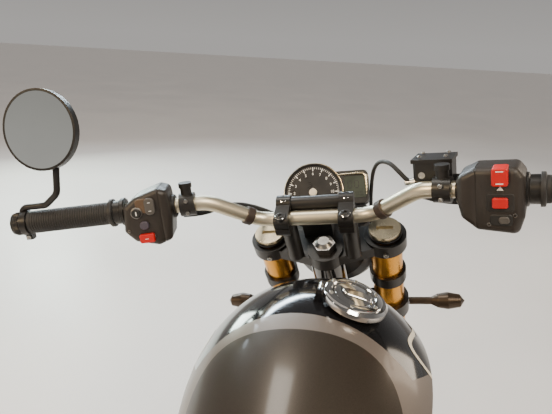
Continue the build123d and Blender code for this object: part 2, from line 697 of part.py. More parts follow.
def front_wheel():
    """Rim, tyre and disc of the steered wheel."""
    keep("front_rim", FRONT_HUB * wheel_rim(FRONT_RIM_HALF, FRONT_HUB_HALF))
    keep("front_tyre", FRONT_HUB * tyre(FRONT_RADIUS, FRONT_WIDTH, FRONT_CROWN, FRONT_RIM_HALF))
    carrier = AXLE_RADIUS + SPACER_WALL
    disc = brake_disc(FRONT_DISC_RADIUS, carrier, DISC_THICKNESS)
    spacer = ring(carrier + DISC_RING, carrier, DISC_THICKNESS / 2, -FRONT_DISC_X - FRONT_HUB_HALF)
    keep("front_disc", FRONT_HUB * Pos(0, 0, FRONT_DISC_X) * (disc + spacer))


def pitch_radius(teeth):
    """Radius of the circle through the pins of a chain wrapped on a sprocket."""
    return CHAIN_PITCH / 2 / math.sin(math.pi / teeth)


def sprocket(teeth, thickness):
    """A toothed wheel about local z, its teeth cut by a round tool between the rollers."""
    wheel = Cylinder(pitch_radius(teeth) + TOOTH_TIP, thickness)
    cut = Pos(pitch_radius(teeth) + TOOTH_ROOT, 0, 0) * Cylinder(TOOTH_CUT, 2 * thickness)
    for tooth in range(teeth):
        wheel -= Rot(0, 0, 360 / teeth * (tooth + 0.5)) * cut
    return wheel


def rear_wheel():
    """Rim, tyre, disc and toothed sprocket of the driven wheel."""
    keep("rear_rim", REAR_HUB * wheel_rim(REAR_RIM_HALF, REAR_HUB_HALF))
    keep("rear_tyre", REAR_HUB * tyre(REAR_RADIUS, REAR_WIDTH, REAR_CROWN, REAR_RIM_HALF))
    carrier = AXLE_RADIUS + SPACER_WALL
    disc = brake_disc(REAR_DISC_RADIUS, carrier, DISC_THICKNESS)
    spacer = ring(carrier + DISC_RING, carrier, REAR_HUB_HALF - REAR_DISC_X, -DISC_THICKNESS / 2)
    keep("rear_disc", REAR_HUB * Pos(0, 0, REAR_DISC_X) * (disc + spacer))
    wheel = sprocket(REAR_TEETH, SPROCKET_THICKNESS) - Cylinder(carrier, 4 * SPROCKET_THICKNESS)
    reach, window = SPROCKET_WINDOW
    opening = Pos(reach, 0, 0) * Cylinder(window, 4 * SPROCKET_THICKNESS)
    for gap in range(SPROCKET_WINDOWS):
        wheel -= Rot(0, 0, 360 / SPROCKET_WINDOWS * gap) * opening
    boss = ring(AXLE_RADIUS + SPROCKET_BOSS, carrier, SPROCKET_THICKNESS / 2, -CHAIN_X - REAR_HUB_HALF)
    keep("rear_sprocket", REAR_HUB * Pos(0, 0, CHAIN_X) * (wheel + boss))


def yoke(low, depth, stem_bore):
    """A fork yoke on the steering axis: two fork bosses and a stem boss in one casting."""
    shape = Pos(0, 0, low) * Cylinder(STEM_BOSS, depth, align=UP_FROM)
    for side in (-1, 1):
        x = side * FORK_SPACING
        shape += Pos(x, FORK_OFFSET, low) * Cylinder(YOKE_BOSS, depth, align=UP_FROM)
        wing = ((x, FORK_OFFSET - YOKE_WING_BACK), (x, FORK_OFFSET + YOKE_WING_FRONT))
        web = make_face(Polyline((0, -YOKE_BACK), *wing, (0, YOKE_NOSE), close=True))
        shape += Pos(0, 0, low) * extrude(web, depth * YOKE_WEB)
        shape -= Pos(x, FORK_OFFSET, low - 1) * Cylinder(FORK_TUBE_RADIUS + FIT, depth + 2, align=UP_FROM)
    if stem_bore:
        shape -= Pos(0, 0, low - 1) * Cylinder(stem_bore, depth + 2, align=UP_FROM)
    return shape


def fork():
    """Yokes, stem, tubes, caps, legs and axle."""
    keep("top_yoke", STEER * yoke(TOP_YOKE, TOP_YOKE_DEPTH, STEM_RADIUS + FIT))
    top = TOP_YOKE + TOP_YOKE_DEPTH
    low = yoke(LOW_YOKE, LOW_YOKE_DEPTH, 0)
    low += Pos(0, 0, LOW_YOKE) * Cylinder(STEM_RADIUS, top - LOW_YOKE, align=UP_FROM)
    keep("bottom_yoke", STEER * low)
    nut = extrude(RegularPolygon(STEM_NUT_RADIUS, 6), STEM_NUT_DEPTH)
    nut += Pos(0, 0, STEM_NUT_DEPTH) * Cone(*STEM_NUT_DOME, align=UP_FROM)
    keep("stem_nut", STEER * Pos(0, 0, top + FIT) * nut)
    tube_top = top + FORK_TUBE_PROUD
    bore = STANCHION_RADIUS + FIT
    tubes, caps, legs = [], [], []
    for side in (-1, 1):
        leg_axis = STEER * Pos(side * FORK_SPACING, FORK_OFFSET, 0)
        tube = ring(FORK_TUBE_RADIUS, bore, FORK_TUBE_LOW, tube_top)
        tube += ring(DUST_SEAL[0], bore, FORK_TUBE_LOW + DUST_SEAL[1], FORK_TUBE_LOW + DUST_SEAL[2])
        tubes.append(leg_axis * tube)
        cap = Pos(0, 0, tube_top + FIT) * Cylinder(FORK_TUBE_RADIUS - 1, FORK_CAP_DEPTH, align=UP_FROM)
        cap -= Pos(0, 0, tube_top + FORK_CAP_DEPTH) * Box(FORK_TUBE_RADIUS, FORK_CAP_SLOT, FORK_CAP_SLOT)
        caps.append(leg_axis * cap)
        legs.append(STEER * fork_leg(side))
    keep("fork_tubes", *tubes)
    keep("fork_caps", *caps)
    keep("fork_legs", *legs)
    axle = Cylinder(AXLE_RADIUS, 2 * FRONT_AXLE_HALF) - Cylinder(AXLE_BORE, 2 * FRONT_AXLE_HALF + 2)
    keep("front_axle", FRONT_HUB * axle)


def fork_leg(side):
    """A stanchion with its axle clamp, and on the left the caliper's lug."""
    x = side * FORK_SPACING
    socket = Pos(x, FORK_OFFSET, AXLE_UP)
    leg = socket * Cylinder(STANCHION_RADIUS, FORK_TUBE_LOW - AXLE_UP + STANCHION_TOP, align=UP_FROM)
    leg += socket * Cylinder(LEG_SOCKET, LEG_SOCKET_HIGH, align=UP_FROM)
    collar = Cone(LEG_SOCKET, STANCHION_RADIUS, LEG_SOCKET / 2, align=UP_FROM)
    leg += socket * Pos(0, 0, LEG_SOCKET_HIGH) * collar
    leg += socket * Rot(0, 90, 0) * Cylinder(LEG_SOCKET, AXLE_CLAMP_WIDTH)
    if side < 0:
        face = FRONT_DISC_X - FRONT_CALIPER[2] / 2 - PISTON_BOSS - FIT
        thick, back, lug_low, lug_high = CALIPER_LUG
        sides = (face - thick, face)
        leg += block(sides, (FORK_OFFSET - back, FORK_OFFSET), (AXLE_UP + lug_low, AXLE_UP + lug_high))
    return leg - socket * Rot(0, 90, 0) * Cylinder(AXLE_RADIUS + RUNNING, 2 * AXLE_CLAMP_WIDTH)


def caliper(length, depth, width):
    """A brake caliper that straddles a disc at local z = 0, whose centre is down -y."""
    body = Box(length, depth, width)
    body = chamfer(body.edges().filter_by(Axis.Z), CALIPER_EDGE)
    boss = Cylinder(PISTON_RADIUS, PISTON_BOSS + width / 4, align=UP_FROM)
    for place in (-length / 4, length / 4):
        body += Pos(place, 0, -width / 2 - PISTON_BOSS) * boss
    body -= Pos(0, -CALIPER_EDGE, 0) * Box(length + 2, depth, DISC_THICKNESS + 2 * DISC_GAP)
    body -= Pos(0, depth / 2, 0) * Box(length / 3, depth, width / 3)
    return body


def on_disc(disc_radius, disc_x, sizes):
    """Where a caliper of those sizes sits on its disc, in the hub's coordinates."""
    reach = disc_radius - sizes[3]
    angle = math.radians(sizes[4])
    return Pos(reach * math.cos(angle), reach * math.sin(angle), disc_x) * Rot(0, 0, sizes[4] - 90)


def brakes():
    """Front caliper on the left fork leg and rear caliper over the swingarm."""
    place = on_disc(FRONT_DISC_RADIUS, FRONT_DISC_X, FRONT_CALIPER)
    keep("front_caliper", FRONT_HUB * place * caliper(*FRONT_CALIPER[:3]))
    place = on_disc(REAR_DISC_RADIUS, REAR_DISC_X, REAR_CALIPER)
    body = place * Rot(180, 0, 180) * caliper(*REAR_CALIPER[:3])
    low = REAR_DISC_X + DISC_THICKNESS / 2 + 2 * DISC_GAP
    reach = REAR_DISC_RADIUS - DISC_BAND + CALIPER_EDGE
    carrier = Cylinder(CARRIER_RADIUS, CARRIER_THICKNESS, align=UP_FROM)
    arm = Pos(reach / 2, 0, CARRIER_THICKNESS / 2) * Box(reach, CARRIER_WIDTH, CARRIER_THICKNESS)
    carrier += Rot(0, 0, REAR_CALIPER[4]) * arm
    body += Pos(0, 0, low) * (carrier - Cylinder(AXLE_RADIUS + FIT, 4 * CARRIER_THICKNESS))
    keep("rear_caliper", REAR_HUB * body)


def handlebar():
    """Bar, its clamps with the round bridge, and grips."""
    left = [(-x, t, u) for x, t, u in (BAR_END, BAR_BEND, BAR_CENTRE)]
    points = left + [BAR_CENTRE, BAR_BEND, BAR_END]
    keep("handlebar", STEER * bent(points, [BAR_BEND_RADIUS] * 4, BAR_RADIUS))
    forward, up = BAR_CENTRE[1:]
    top = TOP_YOKE + YOKE_WEB * TOP_YOKE_DEPTH + FIT
    bridge_t, bridge_u = forward + BRIDGE_PLACE[0], up + BRIDGE_PLACE[1]
    along_bar = Rot(0, 90, 0)
    shape = Pos(0, bridge_t, bridge_u) * along_bar * Cylinder(BRIDGE_RADIUS, 2 * CLAMP_X)
    for side in (-1, 1):
        x = side * CLAMP_X
        cap = Box(CLAMP_WIDTH, CLAMP_DEPTH, CLAMP_HEIGHT)
        cap = fillet(cap.edges().filter_by(Axis.X), CLAMP_EDGE)
        post_t = forward + CLAMP_POST
        shape += Pos(x, forward + CLAMP_SPLIT, up) * cap
        shape += Pos(x, bridge_t, bridge_u) * along_bar * Cylinder(CLAMP_BRIDGE_RADIUS, CLAMP_WIDTH)
        shape += Pos(x, post_t, top) * Cylinder(CLAMP_POST, up - top, align=UP_FROM)
        for end in (-1, 1):
            mouth = Pos(x, forward + CLAMP_SPLIT + end * CLAMP_DEPTH / 2, up)
            shape -= mouth * Box(2 * CLAMP_WIDTH, 2 * CLAMP_SPLIT_DEPTH, CLAMP_SPLIT)
    shape -= Pos(0, forward, up) * along_bar * Cylinder(BAR_RADIUS + RUNNING, 4 * CLAMP_X)
    keep("bar_clamps", STEER * shape)
    low = BAR_REACH - GRIP_LENGTH
    bore = BAR_RADIUS + RUNNING
    grip = ring(GRIP_RADIUS, bore, low, BAR_REACH)
    grip += ring(GRIP_RADIUS + GRIP_COLLAR, bore, low, low + GRIP_COLLAR_DEPTH)
    keep("grips", *both_sides(CONTROLS * grip))


# Looks along the bar's forward direction: x is out along the bar and y up
HOUSING = Plane(origin=(SWITCH_FRONT, 0, 0), x_dir=(0, 0, 1), z_dir=(-1, 0, 0))


def switch_box(outline, buttons):
    """A switch housing round the bar, its buttons facing the rider."""
    face = make_face(FilletPolyline(*outline, radius=SWITCH_CORNER, close=True))
    deep = SWITCH_FRONT + SWITCH_BACK
    shape = HOUSING * extrude(face, deep)
    shape = fillet(shape.faces().sort_by(Axis.X)[0].edges(), SWITCH_EDGE)
    shape = fillet(shape.faces().sort_by(Axis.X)[-1].edges(), SWITCH_EDGE)
    for out, height, wide, tall, proud in buttons:
        button = extrude(RectangleRounded(wide, tall, min(wide, tall) / 4), proud + SWITCH_EDGE)
        shape += HOUSING * Pos(out, height, deep - SWITCH_EDGE) * button
    return shape - Cylinder(BAR_RADIUS + RUNNING, 2 * BAR_REACH)


def lever_set(reservoir):
    """A perch with its lever, and on the brake side a master cylinder with its reservoir."""
    perch = Pos(0, 0, PERCH) * Cylinder(PERCH_RADIUS, PERCH_WIDTH, align=UP_FROM)
    middle = PERCH + PERCH_WIDTH / 2
    upward = Rot(-90, 0, 0)
    perch += Pos(0, 0, middle) * upward * Cylinder(MIRROR_BOSS[0], MIRROR_BOSS[1], align=UP_FROM)
    perch += Pos(0, MIRROR_BOSS[1], middle) * upward * Cylinder(MIRROR_PLUG[0], MIRROR_PLUG[1], align=UP_FROM)
    forward, height, out = LEVER_PIVOT
    perch += Pos(forward / 2, height / 2, middle) * Box(forward, -height, PERCH_WIDTH)
    yoke_arm = Box(2 * LEVER_PIVOT_RADIUS, -height, out - PERCH)
    perch += Pos(forward, height, (middle + out) / 2) * yoke_arm
    pivot = Cylinder(LEVER_PIVOT_RADIUS, LEVER_PIVOT_DEPTH)
    perch += Pos(LEVER_BLADE[0][0], LEVER_BLADE[0][1], LEVER_BLADE[0][2]) * upward * pivot
    perch += bent(LEVER_BLADE, LEVER_BENDS, LEVER_RADIUS)
    perch += Pos(*LEVER_BLADE[-1]) * Sphere(LEVER_BALL)
    if reservoir:
        size = RESERVOIR_SIZE
        cup = Box(*size)
        cup = chamfer(cup.edges().filter_by(Axis.Y), RESERVOIR_EDGE)
        lid = Pos(0, size[1] / 2, 0) * Box(size[0] + RESERVOIR_LIP, RESERVOIR_LID, size[2] + RESERVOIR_LIP)
        perch += Pos(*RESERVOIR_PLACE) * (cup + lid)
        master = Cylinder(MASTER_RADIUS, middle + out, align=UP_FROM)
        perch += Pos(forward - MASTER_RADIUS, 0, -size[2] / 4) * master
    return perch - Cylinder(BAR_RADIUS + RUNNING, 2 * BAR_REACH)


def controls():
    """Switchgear, levers and bar-end mirrors."""
    keep("right_switchgear", CONTROLS * switch_box(RIGHT_SWITCH, RIGHT_BUTTONS))
    keep("left_switchgear", mirror(CONTROLS * switch_box(LEFT_SWITCH, LEFT_BUTTONS), Plane.YZ))
    keep("brake_lever_set", CONTROLS * lever_set(True))
    keep("clutch_lever_set", mirror(CONTROLS * lever_set(False), Plane.YZ))
    plug = CONTROLS * Pos(0, 0, BAR_REACH + FIT) * Cylinder(BAR_PLUG_RADIUS, BAR_PLUG, align=UP_FROM)
    base = bar_end + bar_out * (BAR_PLUG / 2)
    route = [base] + [bar_end + Vector(*shift) for shift in MIRROR_STEM]
    stem = bent(route, MIRROR_STEM_BENDS, MIRROR_STEM_RADIUS)
    facing = Plane(origin=bar_end + Vector(*MIRROR_PLACE), z_dir=MIRROR_FACING)
    mouth = MIRROR_RADIUS - MIRROR_LIP
    shell = turned([(0, 0), (mouth, 0), (mouth, -MIRROR_LIP), (MIRROR_RADIUS, -MIRROR_LIP),
                    (MIRROR_RADIUS, MIRROR_DEPTH / 2), (MIRROR_RADIUS - MIRROR_DOME, MIRROR_DEPTH),
                    (0, MIRROR_DEPTH)])
    glass = Pos(0, 0, -MIRROR_LIP) * Cylinder(mouth - FIT, MIRROR_LIP - FIT, align=UP_FROM)
    keep("bar_end_mirrors", *both_sides(plug + stem + facing * shell))
    keep("mirror_glasses", *both_sides(facing * glass))


def instrument():
    """Round dial with a display wing on its right, facing the rider."""
    tilt = math.radians(DIAL_TILT)
    dial_up = (0, -math.sin(tilt), math.cos(tilt))
    face = STEER * Plane(origin=DIAL_CENTRE, x_dir=(1, 0, 0), z_dir=dial_up).location
    well = DIAL_RADIUS - DIAL_BEZEL
    bowl = turned([(0, -DIAL_DEPTH), (DIAL_BACK, -DIAL_DEPTH), (DIAL_RADIUS, -DIAL_DEPTH / 2),
                   (DIAL_RADIUS, 0), (well, 0), (well, -GLASS_THICKNESS), (0, -GLASS_THICKNESS)])
    wing = extrude(RectangleRounded(*WING_SIZE, WING_CORNER), -DIAL_DEPTH)
    wing = chamfer(wing.faces().sort_by(Axis.Z)[0].edges(), DIAL_BEZEL)
    body = bowl + (Pos(*WING_PLACE, 0) * wing - Cylinder(well, 3 * DIAL_DEPTH))
    body -= Pos(*DISPLAY_PLACE, 0) * Box(*DISPLAY_SIZE, 2 * GLASS_THICKNESS)
    foot = TOP_YOKE + YOKE_WEB * TOP_YOKE_DEPTH + FIT
    bracket = block(BRACKET_X, (STEM_BOSS + SIDE_GAP, BRACKET_FRONT), (foot, foot + BRACKET_HEIGHT))
    keep("instrument", face * body + STEER * bracket)
    sunk = FIT - GLASS_THICKNESS
    glass = GLASS_THICKNESS - FIT
    dial = Pos(0, 0, sunk) * Cylinder(well - FIT, glass, align=UP_FROM)
    display_wide, display_tall = (size - 2 * FIT for size in DISPLAY_SIZE)
    display = Pos(*DISPLAY_PLACE, sunk) * extrude(Rectangle(display_wide, display_tall), glass)
    keep("instrument_glass", face * dial, face * display)


# Midway between the yokes
lamp_up = (LOW_YOKE + LOW_YOKE_DEPTH + TOP_YOKE) / 2
dip = math.radians(LAMP_DIP)
LAMP = Plane(origin=STEER.from_local_coords(Vector(0, LAMP_FORWARD, lamp_up)), x_dir=(1, 0, 0),
             z_dir=(0, math.cos(dip), -math.sin(dip)))


def headlamp():
    """Round bowl, its bezel and lens, and bracket arms to the fork tubes."""
    mouth = LAMP_RADIUS - LAMP_BEZEL
    front = LAMP_BOWL[-1][1] + LAMP_BEZEL_DEPTH
    outline = [(LAMP_RADIUS * share, place) for share, place in LAMP_BOWL]
    outline += [(LAMP_RADIUS, front), (mouth, front), (mouth, LAMP_SEAT), (0, LAMP_SEAT)]
    shape = LAMP * turned(outline)
    arm_back = FORK_OFFSET + FORK_TUBE_RADIUS + SIDE_GAP
    for side in (-1, 1):
        clamp = ring(FORK_TUBE_RADIUS + LAMP_CLAMP, FORK_TUBE_RADIUS + FIT, lamp_up - LAMP_CLAMP_HALF,
                     lamp_up + LAMP_CLAMP_HALF)
        shape += STEER * Pos(side * FORK_SPACING, FORK_OFFSET, 0) * clamp
        arm = sorted((side * (LAMP_RADIUS - LAMP_ARM / 2), side * (LAMP_RADIUS + LAMP_ARM / 2)))
        shape += STEER * block(arm, (arm_back, LAMP_FORWARD + LAMP_BEZEL_DEPTH),
                               (lamp_up - LAMP_ARM_HALF, lamp_up + LAMP_ARM_HALF))
    keep("headlamp", shape)
    rim = mouth - FIT
    lens = turned([(0, LAMP_SEAT + FIT), (rim, LAMP_SEAT + FIT), (rim, LENS_EDGE), LENS_MID, (0, LENS_TIP)])
    keep("headlamp_lens", LAMP * lens)


def mudguard():
    """Front mudguard on stays that bolt to the front of the axle castings."""
    side = FRONT_WIDTH / 2 + GUARD_SIDE
    low, high, wall = FRONT_RADIUS + GUARD_LOW, FRONT_RADIUS + GUARD_HIGH, GUARD_WALL
    bow, shoulder = side * GUARD_BOW, high - GUARD_SHOULDER
    lap = wall * 2 / 3
    outline = [(low + wall, -side), (shoulder, -bow), (high, 0), (shoulder, bow), (low + wall, side),
               (low, side - lap), (shoulder - wall, bow - lap), (high - wall, 0),
               (shoulder - wall, lap - bow), (low, lap - side)]
    face = make_face(Polyline(*[(r, 0, z) for r, z in outline], close=True))
    guard = FRONT_HUB * Rot(0, 0, GUARD_START) * revolve(face, Axis.Z, GUARD_SWEEP)
    front = FORK_OFFSET + LEG_SOCKET + FIT
    stay = (front, front + GUARD_STAY)
    foot, knee, lip = GUARD_STAY_HEIGHTS
    for sign in (-1, 1):
        wide = sorted(sign * x for x in GUARD_STAY_OUT)
        narrow = sorted((sign * (side - wall), sign * (GUARD_STAY_OUT[0] + wall)))
        guard += STEER * block(wide, stay, (AXLE_UP + foot, AXLE_UP + lip))
        guard += STEER * block(narrow, stay, (AXLE_UP + knee, AXLE_UP + FRONT_RADIUS - lap))
    keep("front_mudguard", guard)


def indicator(stalk):
    """A small bullet indicator on a stalk, about local z, pointing outward."""
    root = INDICATOR[0][0]
    body = [(radius, stalk + place) for radius, place in INDICATOR]
    return turned([(0, 0), (root, 0), *body])


def indicators():
    """The front pair beside the bottom yoke and the rear pair on the plate hanger."""
    root = FORK_SPACING + YOKE_BOSS + FIT
    outward = Rot(0, 90, 0)
    front = STEER * Pos(root, FORK_OFFSET, LOW_YOKE + LOW_YOKE_DEPTH / 2) * outward * indicator(FRONT_STALK)
    keep("front_indicators", *both_sides(front))
    rear = Pos(HANGER_HALF + FIT, *REAR_INDICATOR) * outward * indicator(REAR_STALK)
    keep("rear_indicators", *both_sides(rear))


def rail_point(x, y):
    """A point on the centre line of a rear rail."""
    return x, y, rail_height(y)


def frame():
    """Head tube, spars, down tubes, pivot plates and rear rails, welded into one piece."""
    low = LOW_YOKE + LOW_YOKE_DEPTH + HEAD_TUBE_GAP
    shape = STEER * ring(HEAD_TUBE_RADIUS, STEM_RADIUS + FIT, low, TOP_YOKE - HEAD_TUBE_GAP)
    spar_head, down_head = (STEER.from_local_coords(Vector(*head)) for head in (SPAR_HEAD, DOWN_HEAD))
    half = [
        bent([spar_head, *SPAR], SPAR_BENDS, SPAR_RADIUS),
        bent([down_head, *DOWN_TUBE], [DOWN_BEND], DOWN_TUBE_RADIUS),
        bent([RAIL_ROOT, *[rail_point(x, y) for x, y in RAIL_PLAN]], RAIL_BENDS, RAIL_RADIUS),
        bent([*STAY, rail_point(*STAY_TOP)], [STAY_BEND], STAY_RADIUS),
        side_plate(PLATE_OUTLINE, PIVOT_HALF + SIDE_GAP, plate_out)
        - side_plate(PLATE_WINDOW, PIVOT_HALF, plate_out + 1),
    ]
    for y, z in ENGINE_MOUNTS:
        half.append(rod((CASE_HALF + FIT, y, z), (PIVOT_HALF + PIVOT_PLATE / 3, y, z), ENGINE_MOUNT_RADIUS))
    for piece in half:
        for side in both_sides(piece):
            shape += side
    pin_end = PIVOT_HALF + PIVOT_PLATE / 2
    shape += rod((-pin_end, *PIVOT), (pin_end, *PIVOT), PIVOT_PIN_RADIUS)
    tail_x = rail_x(TAIL_CROSS_Y)
    tail_z = rail_height(TAIL_CROSS_Y)
    shape += rod((-tail_x, TAIL_CROSS_Y, tail_z), (tail_x, TAIL_CROSS_Y, tail_z), TAIL_CROSS_RADIUS)
    cross = (SHOCK_CROSS_Y, rail_height(SHOCK_CROSS_Y) - SHOCK_CROSS_DROP)
    cross_half = RAIL_ROOT[0]
    shape += rod((-cross_half, *cross), (cross_half, *cross), SHOCK_CROSS_RADIUS)
    eye_y, eye_z = SHOCK_TOP
    over, half_ear = TOP_EAR_ROOT
    back, above, below = TOP_EAR_TIP
    ear = [(cross[0] + over, cross[1] + half_ear), (cross[0] + over, cross[1] - half_ear),
           (eye_y - back, eye_z - below), (eye_y - back, eye_z + above)]
    for side in both_sides(side_plate(ear, SHOCK_EYE / 2 + FIT, SHOCK_EYE / 2 + EAR_THICKNESS)):
        shape += side
    shape += rod((-SHOCK_EYE, *SHOCK_TOP), (SHOCK_EYE, *SHOCK_TOP), SHOCK_PIN)
    for x in (-TANK_POST_X, TANK_POST_X):
        shape += rod((x, *cross), (x, cross[0], TANK_FLOOR - FIT), TANK_POST_RADIUS)
    shape += block((-plate_out, -PIVOT_HALF - SIDE_GAP), STAND_LUG_Y, STAND_LUG_Z)
    lug_face = stand_pivot - stand_turn * (STAND_EYE / 2 + FIT)
    shape += rod(lug_face, stand_pivot - stand_turn * STAND_LUG_LENGTH, STAND_LUG_RADIUS)
    bore = Cylinder(STEM_RADIUS + FIT, 2 * (TOP_YOKE - low), align=UP_FROM)
    shape -= STEER * Pos(0, 0, LOW_YOKE) * bore
    keep("frame", shape)


def swingarm():
    """Pivot tube, brace and two arms that spread outward to the axle."""
    shape = rod((-PIVOT_HALF, *PIVOT), (PIVOT_HALF, *PIVOT), PIVOT_TUBE_RADIUS)
    stations = list(ARM_FRONT)
    for ahead, inner, outer, low, high in ARM_REAR:
        stations.append((REAR_AXLE_Y + ahead, inner, outer, REAR_AXLE_Z + low, REAR_AXLE_Z + high))
    for sign in (-1, 1):
        arm = []
        for y, inner, outer, low, high in stations:
            centre = (sign * (inner + outer) / 2, y, (low + high) / 2)
            section = RectangleRounded(outer - inner, high - low, ARM_EDGE)
            arm.append(Plane(origin=centre, x_dir=(1, 0, 0), z_dir=(0, -1, 0)) * section)
        shape += loft(arm, ruled=True)
    shape += block((-ARM_BRACE_HALF, ARM_BRACE_HALF), *ARM_BRACE)
    for ear in both_sides(side_plate(LOW_EAR, SHOCK_EYE / 2 + FIT, SHOCK_EYE / 2 + EAR_THICKNESS)):
        shape += ear
    shape += rod((-SHOCK_EYE, *SHOCK_LOW), (SHOCK_EYE, *SHOCK_LOW), SHOCK_PIN)
    shape -= rod((-PIVOT_HALF - 1, *PIVOT), (PIVOT_HALF + 1, *PIVOT), PIVOT_PIN_RADIUS + FIT)
    shape -= REAR_HUB * Cylinder(AXLE_RADIUS + FIT, 4 * REAR_AXLE_HALF)
    keep("swingarm", shape)
    axle = Cylinder(AXLE_RADIUS, 2 * REAR_AXLE_HALF) - Cylinder(AXLE_BORE, 2 * REAR_AXLE_HALF + 2)
    keep("rear_axle", REAR_HUB * axle)


def shock():
    """Damper with a coil spring between the frame and the swingarm."""
    low, top = Vector(0, *SHOCK_LOW), Vector(0, *SHOCK_TOP)
    length = (top - low).length
    eye = Rot(0, 90, 0)
    body = Cylinder(SHOCK_ROD, length, align=UP_FROM)
    for height in (0, length):
        body += Pos(0, 0, height) * eye * Cylinder(SHOCK_EYE_RADIUS, SHOCK_EYE)
    start, end = (length * share for share in SHOCK_BODY_SPAN)
    body += Pos(0, 0, start) * Cylinder(SHOCK_BODY, end - start, align=UP_FROM)
    cups = [length * share for share in SHOCK_CUPS]
    for height in cups:
        body += Pos(0, 0, height) * Cylinder(SHOCK_CUP, SHOCK_CUP_DEPTH, align=UP_FROM)
    room = cups[1] - cups[0] - SHOCK_CUP_DEPTH
    for turn in range(SPRING_TURNS):
        height = cups[0] + SHOCK_CUP_DEPTH + room * (turn + 0.5) / SPRING_TURNS
        body += Pos(0, 0, height) * ring(SPRING_RADIUS, SHOCK_ROD - 1, -SPRING_WIRE, SPRING_WIRE)
    for height in (0, length):
        body -= Pos(0, 0, height) * eye * Cylinder(SHOCK_PIN + FIT, 2 * SHOCK_EYE)
    keep("rear_shock", Plane(origin=low, x_dir=(1, 0, 0), z_dir=top - low) * body)


tilt = math.radians(CYLINDER_TILT)
CYLINDER = Plane(origin=(0, *CRANK), x_dir=(1, 0, 0), z_dir=(0, math.sin(tilt), math.cos(tilt)))


def engine():
    """Crankcase with stepped round covers, and the finned cylinder with its head above it."""
    half = CYLINDER_HALF + FIN_OUT
    deck = [CYLINDER.from_local_coords(Vector(0, side * half, DECK)) for side in (1, -1)]
    outline = [*CASE_FRONT, *[(point.Y, point.Z) for point in deck], *CASE_BACK]
    case = side_plate(outline, -CASE_HALF, CASE_HALF)
    for side, y, z, steps in COVERS:
        for radius, reach in steps:
            ends = sorted((side * CASE_HALF * COVER_ROOT, side * (CASE_HALF + reach)))
            case += rod((ends[0], y, z), (ends[1], y, z), radius)
    keep("engine_case", case)
    barrel = RectangleRounded(2 * CYLINDER_HALF, 2 * CYLINDER_HALF, CYLINDER_CORNER)
    body = Pos(0, 0, DECK + FIT) * extrude(barrel, CYLINDER_HEIGHT)
    fin = extrude(RectangleRounded(2 * half, 2 * half, FIN_CORNER), FIN_THICKNESS)
    for number in range(FINS):
        body += Pos(0, 0, DECK + FIN_START + FIN_PITCH * number) * fin
    head_wide, head_long = (2 * (CYLINDER_HALF + grow) for grow in HEAD_GROW)
    head = extrude(RectangleRounded(head_wide, head_long, CYLINDER_CORNER), HEAD_HEIGHT)
    body += Pos(0, 0, DECK + HEAD_RISE) * head
    cover = extrude(RectangleRounded(*CAM_COVER[:2], CAM_COVER_CORNER), CAM_COVER[2])
    cover = chamfer(cover.faces().sort_by(Axis.Z)[-1].edges(), CAM_COVER_EDGE)
    cover -= Pos(0, 0, CAM_COVER[2] / 2) * Cylinder(SPARK_WELL, CAM_COVER[2], align=UP_FROM)
    body += Pos(0, 0, DECK + CAM_COVER_RISE) * cover
    keep("engine_cylinder", CYLINDER * body)


def airbox():
    """Airbox under the tank's back, with the throttle body from the cylinder head."""
    face = -CYLINDER_HALF - HEAD_GROW[1]
    port = CYLINDER.from_local_coords(Vector(0, face - FIT, DECK + PORT_RISE))
    bend = CYLINDER.from_local_coords(Vector(0, face - THROTTLE_OUT, DECK + PORT_RISE))
    shape = side_plate(AIRBOX, -AIRBOX_HALF, AIRBOX_HALF)
    shape += bent([port, bend, (0, *THROTTLE_END)], [THROTTLE_BEND], THROTTLE_RADIUS)
    keep("airbox", shape)


def radiator():
    """A radiator between side tanks, in front of the down tubes."""
    top, low = Vector(0, *DOWN_TUBE[0][1:]), Vector(0, *DOWN_TUBE[1][1:])
    along = (top - low).normalized()
    facing = Vector(0, along.Z, -along.Y)
    deep = SIDE_TANK[2] / 2
    centre = top + (low - top) * RADIATOR_SHARE + facing * (DOWN_TUBE_RADIUS + FIT + deep + RADIATOR_STANDOFF)
    core = Plane(origin=centre, x_dir=(1, 0, 0), z_dir=facing)
    shape = Box(*CORE_SIZE)
    slot_height, slot_deep = CORE_SLOT
    pitch = CORE_SIZE[1] / CORE_SLOTS
    for row in range(CORE_SLOTS):
        height = pitch * (row + 0.5) - CORE_SIZE[1] / 2
        shape -= Pos(0, height, CORE_SIZE[2] / 2) * Box(CORE_SIZE[0] - 2 * pitch, slot_height, 2 * slot_deep)
    side_x = (CORE_SIZE[0] + SIDE_TANK[0]) / 2 - 2
    for x in (-side_x, side_x):
        shape += Pos(x, 0, 0) * Box(*SIDE_TANK)
    back = CORE_SIZE[2] / 2
    foot = RADIATOR_STANDOFF + deep - back + FOOT_SUNK
    for x in (-RADIATOR_FOOT_X, RADIATOR_FOOT_X):
        shape += Pos(x, 0, FOOT_SUNK - back - foot / 2) * Box(*RADIATOR_FOOT, foot)
    neck, cap = RADIATOR_CAP
    shape += Pos(side_x, SIDE_TANK[1] / 2, 0) * Rot(-90, 0, 0) * Cylinder(neck, cap, align=UP_FROM)
    keep("radiator", core * shape)


